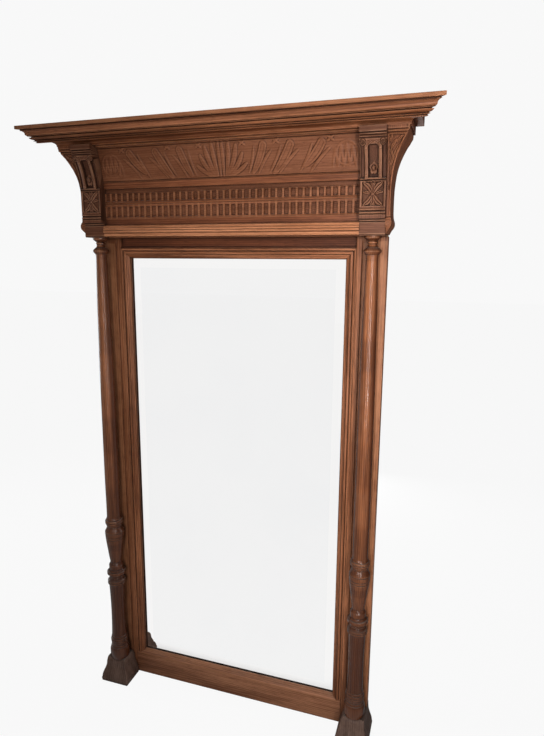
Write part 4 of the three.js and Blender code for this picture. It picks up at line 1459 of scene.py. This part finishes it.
# ---------------------------------------------------------------- side brackets
@dataclass
class SideBracket:
    """The coved bracket outside each console, its front carved with leaves.

    Attributes:
        outline: (share of its lean, share of its height).
        foot: its thickness at the foot.
        rows: rings up its height.
        columns: points across its front.
        border: width of its raised border.
        strokes: start, end and breadth of each leaf, heights as shares of the bracket's height.
    """

    outline: Profile = field(default_factory=lambda: [
        (0, 0), (0.055, 0.022), (0.11, 0.044), (0.2, 0.065), (0.255, 0.087), (0.264, 0.116),
        (0.236, 0.141), (0.19, 0.163), (0.164, 0.218), (0.155, 0.345), (0.164, 0.461), (0.2, 0.544),
        (0.245, 0.617), (0.327, 0.689), (0.436, 0.754), (0.564, 0.812), (0.709, 0.87),
        (0.855, 0.914), (0.927, 0.943), (0.982, 0.954), (1, 0.979), (1, 1)])
    foot: float = 2.5
    rows: int = 190
    columns: int = 46
    border: float = 4.6
    strokes: Sequence[tuple[Point, Point, float]] = (
        ((6, 0.46), (13, 0.56), 3.0), ((13, 0.55), (7, 0.645), 3.0), ((7, 0.64), (17, 0.735), 3.4),
        ((17, 0.72), (9, 0.8), 3.4), ((17, 0.73), (31, 0.83), 4.2), ((9, 0.8), (23, 0.875), 4.0),
        ((24, 0.85), (40, 0.905), 3.6), ((8, 0.86), (12, 0.915), 3.0))

    def make(self, bench: Bench) -> None:
        """Makes both side brackets."""
        for side in Side:
            self.bracket(bench, side)

    def carving(self, q: Array, width: Array, v: Array, height: float) -> tuple[Array, Array]:
        """The carved height of the front.

        Args:
            q: distance from the console's side.
            width: the front's width at that height.
            v: height above the foot.
            height: the bracket's height.

        Returns:
            The height and how much of it is punched ground.
        """
        edge = np.minimum(q, width - q)
        inside = rise(edge, self.border - 0.8, self.border + 0.8) * rise(
            v, 0.42 * height, 0.44 * height) * (1 - rise(v, 0.915 * height, 0.925 * height))
        leaves = np.zeros_like(q)
        for start, end, broad in self.strokes:
            stroke = leaf(q, v, (start[0], start[1] * height), (end[0], end[1] * height), broad, 1.2)
            leaves = np.maximum(leaves, stroke)
        high = inside * (-3.2 + 3.6 * leaves)
        high += 1.5 * bump(width - q, 2.4, 1.6) * rise(v, 0.16 * height, 0.2 * height)
        high += 1.3 * bump(v, 0.924 * height, 1.2) - 2.4 * bump(v, 0.9375 * height, 1.3)
        high += 1.2 * bump(v, 0.951 * height, 1.2) - 2.2 * bump(v, 0.9655 * height, 1.2)
        high -= 1.4 * bump(v, 0.165 * height, 2.0)
        curl = scroll(q, v, (7.5, 0.105 * height), 9.5)
        near = np.hypot(q - 7.5, v - 0.105 * height) < 9.6
        high += np.where(near, 1.4 * (curl - 0.7), 0)
        return high, inside * (leaves < 0.05)

    def bracket(self, bench: Bench, side: Side) -> None:
        """Makes one side bracket around its CAD box."""
        e = Extent.of(f"side_bracket_{side.word}")
        near = min(abs(e.x_low), abs(e.x_high))
        lean = e.x_high - e.x_low - self.foot
        low_out = e.out_high - lean
        leans, heights = zip(*self.outline)
        t = np.linspace(0, 1, self.rows)
        share = smoothed(np.interp(t, heights, leans), 9)
        share[-3:], share[0] = 1.0, 0.0
        z = e.z_low + t * e.height
        out = low_out + share * lean
        width = self.foot + share * lean
        across = np.linspace(0, 1, self.columns)
        q = across[None, :] * width[:, None]
        v = np.repeat((t * e.height)[:, None], self.columns, 1)
        high, ground = self.carving(q, width[:, None] + 0 * q, v, e.height)
        high = high * np.minimum(1.0, width / 14.0)[:, None]
        front = carved_front(e, near + q, out, v, high)
        depth = np.array([0.985, 0.95, 0.7, 0.4, 0.0])
        flank = np.stack([np.stack([near + width - (0.0 if d < 0.98 else 0.25), out * d, z], -1)
                          for d in depth], 1)
        back = np.stack([near + 0 * width, 0 * out, z], -1)[:, None]
        rings = np.concatenate([front, flank, back], 1)
        rings[:, :, 0] *= side.value
        wear = np.zeros(rings.shape[:2])
        wear[:, :self.columns] = crest_and_hollow(high, 1.2)
        wear[:, self.columns - 2:self.columns] = 0.9
        body = tube(rings, wear)
        dots = np.zeros(rings.shape[:2])
        dots[:, :self.columns] = ground
        body.ground = dots.reshape(-1)
        bench.lay(f"coved_bracket_{side.word}", body, [bench.finishes.carved], Grain.UPRIGHT,
                  "carved_oak", [f"side_bracket_{side.word}"], even=False)


# ---------------------------------------------------------------- the frieze
@dataclass
class Frieze:
    """The boards, flutes and carved panel between the brackets.

    Attributes:
        pitch: distance between carved points of the panel.
        flute_pitch: distance between carved points of the fluted bands.
        flutes: how many flutes stand in a band.
        fillet: wood left between two flutes.
        depth: depth of a flute.
        shadow: height of the sunk strip under the fillet rail.
        relief: height of the panel's carving.
        hollow: (share of its reach, share of its height) of the panel's smooth face.
    """

    pitch: float = 1.3
    flute_pitch: float = 1.25
    flutes: int = 40
    fillet: float = 8.0
    depth: float = 6.5
    shadow: float = 13.0
    relief: float = 2.9
    hollow: Profile = ((0.36, 0), (0.44, 0.2), (0.54, 0.4), (0.64, 0.56), (0.75, 0.72), (0.87, 0.86),
                       (1, 1))

    def make(self, bench: Bench) -> None:
        """Makes the frieze from the ledge up."""
        f = bench.finishes
        ledge = [(0, 0), (0.79, 0), (0.86, 0.058), (0.86, 0.317), (0.9, 0.33), (0.98, 0.36), (1, 0.43),
                 (0.98, 0.5), (0.93, 0.533), (0.93, 0.55), (0.965, 0.576), (0.975, 0.65), (0.95, 0.72),
                 (0.88, 0.764), (0.88, 0.79), (0.895, 0.807), (0.88, 0.87), (0.84, 0.937), (0.79, 0.98),
                 (0.756, 1), (0, 1)]
        bead = [(0, 0), (0.84, 0), (0.96, 0.18), (1, 0.5), (0.96, 0.82), (0.84, 1), (0, 1)]
        rail = [(0, 0), (0.745, 0), (0.80, 0.05), (0.84, 0.16), (0.9, 0.5), (1, 0.84), (0.985, 0.95),
                (0.936, 1), (0, 1)]
        square = [(0, 0), (1, 0), (1, 1), (0, 1)]
        # the ledge takes the lighter oak, a painted highlight
        runs = (("ledge_moulding", ledge, "frieze_ledge", f.rubbed, "oak"),
                ("plain_band", square, "frieze_plain_band", f.frieze, "oak"),
                ("band_bead", bead, "frieze_bead", f.frieze, "carved_oak"),
                ("fillet_rail", rail, "frieze_fillet_rail", f.frieze, "oak"),
                ("top_fillet", square, "frieze_top_fillet", f.crown, "oak"))
        for name, shares, node, material, slot in runs:
            e = Extent.of(node)
            bench.lay(name, run_across(e.section(shares), e.x_low, e.x_high, 0.7), [material],
                      Grain.ACROSS, slot, [node])
        for word in ("lower", "upper"):
            self.fluted(bench, word)
        self.panel(bench)

    def fluted(self, bench: Bench, word: str) -> None:
        """A band of short sunk flutes between upright fillets."""
        e = Extent.of(f"fluted_band_{word}")
        columns = round((e.x_high - e.x_low) / self.flute_pitch) + 1
        rows = round(e.height / self.flute_pitch) + 1
        x, z = np.meshgrid(np.linspace(e.x_low, e.x_high, columns), np.linspace(0, e.height, rows))
        step = (e.x_high - e.x_low) / self.flutes
        half = (step - self.fillet) / 2
        aside = half - np.abs((x - e.x_low) % step - step / 2)
        top = e.height - (self.shadow + 2.5 if word == "upper" else 7.0)
        cut = rise(aside, -0.9, 0.9) * rise(np.minimum(z - 5.0, top - z), -0.9, 0.9)
        shade = e.height - self.shadow
        strip = rise(z, shade - 0.9, shade + 0.9) if word == "upper" else 0 * z
        sunk = np.maximum(cut, strip)
        high = -self.depth * sunk - 1.2 * bump(z, 2.2, 1.0)
        front = np.stack([x, e.out_high + high, e.z_low + z], -1)
        # the flutes and the sunk strip go in as ground, darkened as painted shade; the fillets between flutes are edge
        # wear and painted highlight
        wear = 0.7 * bump(aside, -2.6, 1.8) * (1 - strip)
        bench.lay(f"flutes_{word}", slab(front, e.out_low, wear, sunk), [bench.finishes.carved],
                  Grain.ACROSS, "carved_oak", [f"fluted_band_{word}"], even=False)

    def panel(self, bench: Bench) -> None:
        """The hollow panel with its palmette, tongues and small flowers."""
        e = Extent.of("carved_panel")
        reaches, heights = zip(*self.hollow)
        rows = round(e.height / self.pitch) + 1
        columns = round((e.x_high - e.x_low) / self.pitch) + 1
        v = np.linspace(0, e.height, rows)
        out = e.out_low + np.interp(v / e.height, heights, reaches) * (e.out_high - e.out_low)
        x, z = np.meshgrid(np.linspace(e.x_low, e.x_high, columns), v)
        high, ground = self.ornament(x, z, e.height, e.x_high)
        front = carved_front(e, x, out, z, high)
        body = slab(front, e.out_low, crest_and_hollow(high, self.pitch), ground)
        bench.lay("palmette_panel", body, [bench.finishes.panel], Grain.ACROSS, "carved_oak",
                  ["carved_panel"], even=False)

    def ornament(self, x: Array, z: Array, height: float, half: float) -> tuple[Array, Array]:
        """The panel's carving, the same on both sides of the middle.

        Args:
            x: distance from the middle, signed.
            z: height above the panel's foot.
            height: the panel's height.
            half: half the panel's width.

        Returns:
            The height and how much of it is punched ground.
        """
        side = np.abs(x)
        shape = np.zeros_like(x)
        # the palmette in the middle, its outer leaves laid over
        for start, end, broad, bow in (((5, 6), (6, 104), 5.0, 0), ((12, 6), (27, 100), 6.0, -3),
                                       ((17, 6), (50, 88), 7.0, -5), ((20, 6), (68, 66), 6.5, -6),
                                       ((22, 5), (80, 38), 5.5, -4)):
            shape = np.maximum(shape, leaf(side, z, start, end, broad, bow))
        # three tongues leaning away from it, each with a slim leaf before and behind
        for start, end, broad in (((100, 12), (134, 84), 10.0), ((165, 8), (216, 82), 11.0),
                                  ((258, 24), (308, 82), 11.0)):
            shape = np.maximum(shape, tongue(side, z, start, end, broad, -3))
            before = leaf(side, z, (start[0] - 16, 8), (end[0] - 28, end[1] - 2), 3.4, -3)
            behind = leaf(side, z, (start[0] + 15, 6), (end[0] + 24, end[1] - 14), 3.8, 3)
            shape = np.maximum(np.maximum(shape, 0.6 * before), 0.6 * behind)
        # small four-leaved flowers in the gaps
        for middle in ((174, 94), (334, 92), (70, 94)):
            for turn in (0.25, 0.75, 1.25, 1.75):
                tip = (middle[0] + 12 * math.cos(turn * math.pi),
                       middle[1] + 9 * math.sin(turn * math.pi))
                shape = np.maximum(shape, 0.8 * leaf(side, z, middle, tip, 2.6))
        # a fan of wavy reeds over a faint loop closes each end
        loop = np.hypot((side - half + 40) / 34, (z - 52) / 34)
        shape = np.maximum(shape, 0.32 * bump(loop, 0.9, 0.08))
        for number in range(9):
            foot, lean = half - 78 + 8.4 * number, 3.4 * (-1) ** number
            head = 78 - 4 * abs(number - 4)
            shape = np.maximum(shape, 0.36 * leaf(side, z, (foot - lean, 16), (foot + lean, head), 3.2))
        shape = softened(np.where(side > half - 3, 0, shape), 5)
        ground = (1 - rise(shape, 0.02, 0.3)) * rise(z, 1.0, 4.0)
        groove = bump(z, height - 4.5, 1.5) + bump(z, 3.0, 1.5)
        high = -0.7 * ground + self.relief * shape - 0.2 - 3.0 * groove
        # every point is dotted a little and the sunk ground more; the top and bottom grooves are darkest, as painted
        # shade
        return high, np.maximum(0.35 + 0.35 * ground, groove)


# ---------------------------------------------------------------- the cornice
@dataclass
class Cornice:
    """The cornice: crown over corona along the front, and the plain boards of the box behind them.

    Attributes:
        corona: its section in a unit square.
        crown: its section in a unit square.
    """

    corona: Profile = field(default_factory=lambda: [
        (0, 0), (0.31, 0), (0.31, 0.2), (0.34, 0.4), (0.42, 0.54), (0.5, 0.58), (0.72, 0.5),
        (0.75, 0.27), (0.8, 0.25), (0.845, 0.33), (0.81, 0.36), (0.81, 0.44), (0.89, 0.46), (0.905, 0.5), (0.86, 0.52),
        (0.86, 0.62), (0.94, 0.65), (0.98, 0.76), (1, 0.85), (1, 0.88), (0.94, 0.89), (0.94, 1), (0, 1)])
    crown: Profile = field(default_factory=lambda: [
        (0, 0), (0.6, 0), (0.6, 0.055), (0.645, 0.09), (0.67, 0.18), (0.677, 0.327), (0.71, 0.43),
        (0.766, 0.49), (0.855, 0.51), (0.855, 0.5101), (0.82, 0.52), (0.82, 0.62), (0.984, 0.62),
        (1, 0.654), (1, 0.965), (0.976, 1), (0, 1)])

    def make(self, bench: Bench) -> None:
        """Makes the two mitred runs and the four boards."""
        f = bench.finishes
        for kind, shares, material in (("corona", self.corona, f.soffit),
                                       ("crown", self.crown, f.crown)):
            e = Extent.of(f"{kind}_front")
            cut = e.x_high - e.out_high

            def ahead(out: Array, z: Array, w: float) -> Sequence[Array]:
                """Places the run, mitred at both ends."""
                return (out + cut) * (1 - 2 * w), out, z

            bench.lay(f"{kind}_run", swept(e.section(shares), ahead, ease=0.5), [material], Grain.ACROSS,
                      "oak", [f"{kind}_front"])
        boards = [("bearing_board", "cornice_bearing_board", Grain.ACROSS),
                  ("dust_board", "cornice_dust_board", Grain.ACROSS)]
        boards += [(f"box_side_{side.word}", f"cornice_side_board_{side.word}", Grain.INWARD)
                   for side in Side]
        for name, node, grain in boards:
            bench.lay(name, board(Extent.of(node)), [f.dark], grain, "dark_oak", [node])


# ---------------------------------------------------------------- what stays as the solids have it
@dataclass
class HiddenWork:
    """The carcass, backboards and fixings, which keep their solids and get their finishes."""

    across: tuple[str, ...] = ("backboard_1", "backboard_2", "backboard_3", "entablature_back_board",
                               "entablature_front_board", "glue_block_1", "glue_block_2", "glue_block_3")
    upright: tuple[str, ...] = ("corner_post_left", "corner_post_right", "locating_peg_left",
                                "locating_peg_right")

    def make(self, bench: Bench) -> None:
        """Dresses each node."""
        f = bench.finishes
        for node in self.across:
            bench.dress(node, f.pine[Grain.ACROSS])
        for node in self.upright:
            bench.dress(node, f.pine[Grain.UPRIGHT])
        bench.dress("entablature_bottom_board", f.inner_oak)
        for side in Side:
            bench.dress(f"wall_plate_{side.word}", f.steel)
            bench.dress(f"wall_plate_screw_{side.word}", f.brass)


# ---------------------------------------------------------------- camera, lamps and floor
@dataclass(frozen=True)
class Lamp:
    """A soft lamp.

    Attributes:
        name: its name.
        place: where it stands, in metres.
        aim: the point it looks at.
        size: its width and height.
        power: its power in watts.
        spread: how widely it throws its light, in degrees.
    """

    name: str
    place: tuple[float, float, float]
    aim: tuple[float, float, float]
    size: tuple[float, float]
    power: float
    spread: float = 180.0

    def hang(self) -> None:
        """Puts the lamp in the scene."""
        data = bpy.data.lights.new(self.name, "AREA")
        data.shape = "RECTANGLE"
        data.size, data.size_y = self.size
        data.energy = self.power
        data.spread = math.radians(self.spread)
        lamp = bpy.data.objects.new(self.name, data)
        lamp.location = self.place
        way = np.array(self.aim) - np.array(self.place)
        lamp.rotation_euler = Vector(way).to_track_quat("-Z", "Y").to_euler()
        bpy.context.scene.collection.objects.link(lamp)


@dataclass
class Studio:
    """The camera at the photograph's angle, the lamps, the floor and the world.

    Attributes:
        camera_place: the camera, in metres.
        camera_right: its right hand.
        camera_up: its up.
        camera_ahead: where it looks.
        lens: focal length for a sensor 36 mm high.
        daylight: strength of the world on the object.
        background: what the camera and reflections see of it.
        far: how much of that a reflection of the room's far side keeps.
        lamps: the lamps; the last two only light the back and the left side.
    """

    camera_place: tuple[float, float, float] = (0.6817, -1.6033, 1.590)
    camera_right: tuple[float, float, float] = (0.9518, 0.3066, 0.0079)
    camera_up: tuple[float, float, float] = (-0.0641, 0.1739, 0.9827)
    camera_ahead: tuple[float, float, float] = (-0.2999, 0.9358, -0.1852)
    lens: float = 27.12
    daylight: float = 0.05
    background: float = 0.94
    far: float = 0.03
    lamps: tuple[Lamp, ...] = (
        Lamp("high_window", (-0.3, -2.6, 2.3), (0.0, 0.0, 1.5), (0.8, 0.4), 1.5),
        Lamp("front_window", (0.43, -2.6, 1.35), (0.75, 0.0, 1.3), (0.16, 1.9), 12.0, 80.0),
        Lamp("key_window", (1.08, -1.38, 1.38), (0.72, 0.0, 1.45), (0.12, 1.4), 13.0, 108.0),
        Lamp("back_window", (-0.25, 2.6, 0.6), (0.0, 0.0, 1.0), (0.7, 0.9), 48.0),
        Lamp("left_window", (-3.0, 0.55, 1.4), (-0.5, 0.1, 1.1), (0.6, 1.6), 24.0))

    def make(self) -> None:
        """Sets everything up."""
        self.set_camera()
        self.set_world()
        self.lay_floor()
        for lamp in self.lamps:
            lamp.hang()
        bpy.context.scene.view_settings.view_transform = "Standard"

    def set_camera(self) -> None:
        """Puts the camera where the photograph was taken from."""
        data = bpy.data.cameras.new("photo_camera")
        data.sensor_fit = "VERTICAL"
        data.sensor_height = 36.0
        data.lens = self.lens
        data.clip_end = 60.0
        camera = bpy.data.objects.new("photo_camera", data)
        right, up, ahead = (np.array(v) for v in (self.camera_right, self.camera_up, self.camera_ahead))
        axes = np.column_stack([right, up, -ahead])
        turn, _, other = np.linalg.svd(axes)
        axes = turn @ other
        matrix = Matrix.Identity(4)
        for row in range(3):
            for column in range(3):
                matrix[row][column] = axes[row, column]
            matrix[row][3] = self.camera_place[row]
        camera.matrix_world = matrix
        bpy.context.scene.collection.objects.link(camera)
        bpy.context.scene.camera = camera

    def seen(self, tree: Tree, ahead: Socket, low: float, high: float) -> Socket:
        """How pale camera, glossy and transmission rays see a place.

        Args:
            tree: the material or world.
            ahead: the y of the way or the place, below 0 on the viewer's side of the room.
            low: the y up to which reflections are pale.
            high: the y from which they are dark.

        Returns:
            1 for what is seen pale; reflections of the room's far side are darker.
        """
        path = tree.add("ShaderNodeLightPath").outputs
        near = tree.between(ahead, low, high, 1.0, self.far)
        mirrored = tree.math("MULTIPLY", path["Is Glossy Ray"], near)
        either = tree.math("MAXIMUM", path["Is Camera Ray"], mirrored)
        return tree.math("MAXIMUM", either, path["Is Transmission Ray"])

    def set_world(self) -> None:
        """A pale world, plainer on the object than in the background."""
        world = bpy.data.worlds.new("pale_room")
        bpy.context.scene.world = world
        world.use_nodes = True
        tree = Tree(world.node_tree)
        way = tree.axis(tree.add("ShaderNodeTexCoord").outputs["Generated"], "Y")
        strength = tree.math("MULTIPLY_ADD", self.seen(tree, way, -0.22, 0.02),
                             self.background - self.daylight, self.daylight)
        shade = tree.add("ShaderNodeBackground", {"Color": (1, 1, 1, 1), "Strength": strength})
        tree.add("ShaderNodeOutputWorld", {"Surface": shade.outputs[0]})

    def lay_floor(self) -> None:
        """A pale floor that keeps a light shadow."""
        mesh = bpy.data.meshes.new("pale_floor")
        reach = 24.0
        corners = [(-reach, -reach, 0), (reach, -reach, 0), (reach, reach, 0), (-reach, reach, 0)]
        mesh.from_pydata(corners, [], [(0, 1, 2, 3)])
        floor = bpy.data.objects.new("pale_floor", mesh)
        bpy.context.scene.collection.objects.link(floor)
        data, tree = new_material("pale_floor")
        place = tree.axis(tree.add("ShaderNodeNewGeometry").outputs["Position"], "Y")
        matt = tree.add("ShaderNodeBsdfDiffuse", {"Color": (0.45, 0.45, 0.45, 1)})
        glow = tree.add("ShaderNodeEmission", {"Color": (1, 1, 1, 1), "Strength": 1.0})
        share = tree.math("MULTIPLY", self.seen(tree, place, -0.06, 0.1), 0.928)
        both = tree.add("ShaderNodeMixShader", {0: share, 1: matt.outputs[0], 2: glow.outputs[0]})
        tree.add("ShaderNodeOutputMaterial", {"Surface": both.outputs[0]})
        mesh.materials.append(data)


def main() -> None:
    """Builds the mirror's sub-assemblies in order."""
    logging.basicConfig(level=logging.INFO, format="%(name)s: %(message)s")
    Studio().make()
    bench = Bench(Finishes(Effects()))
    for part in (MirrorPlate(), JointedFrame(), TurnedColumn(), FlaredFoot(), Console(), SideBracket(),
                 Frieze(), Cornice(), HiddenWork()):
        part.make(bench)
        LOG.info("%s done", type(part).__name__)


if __name__ == "__main__":
    main()
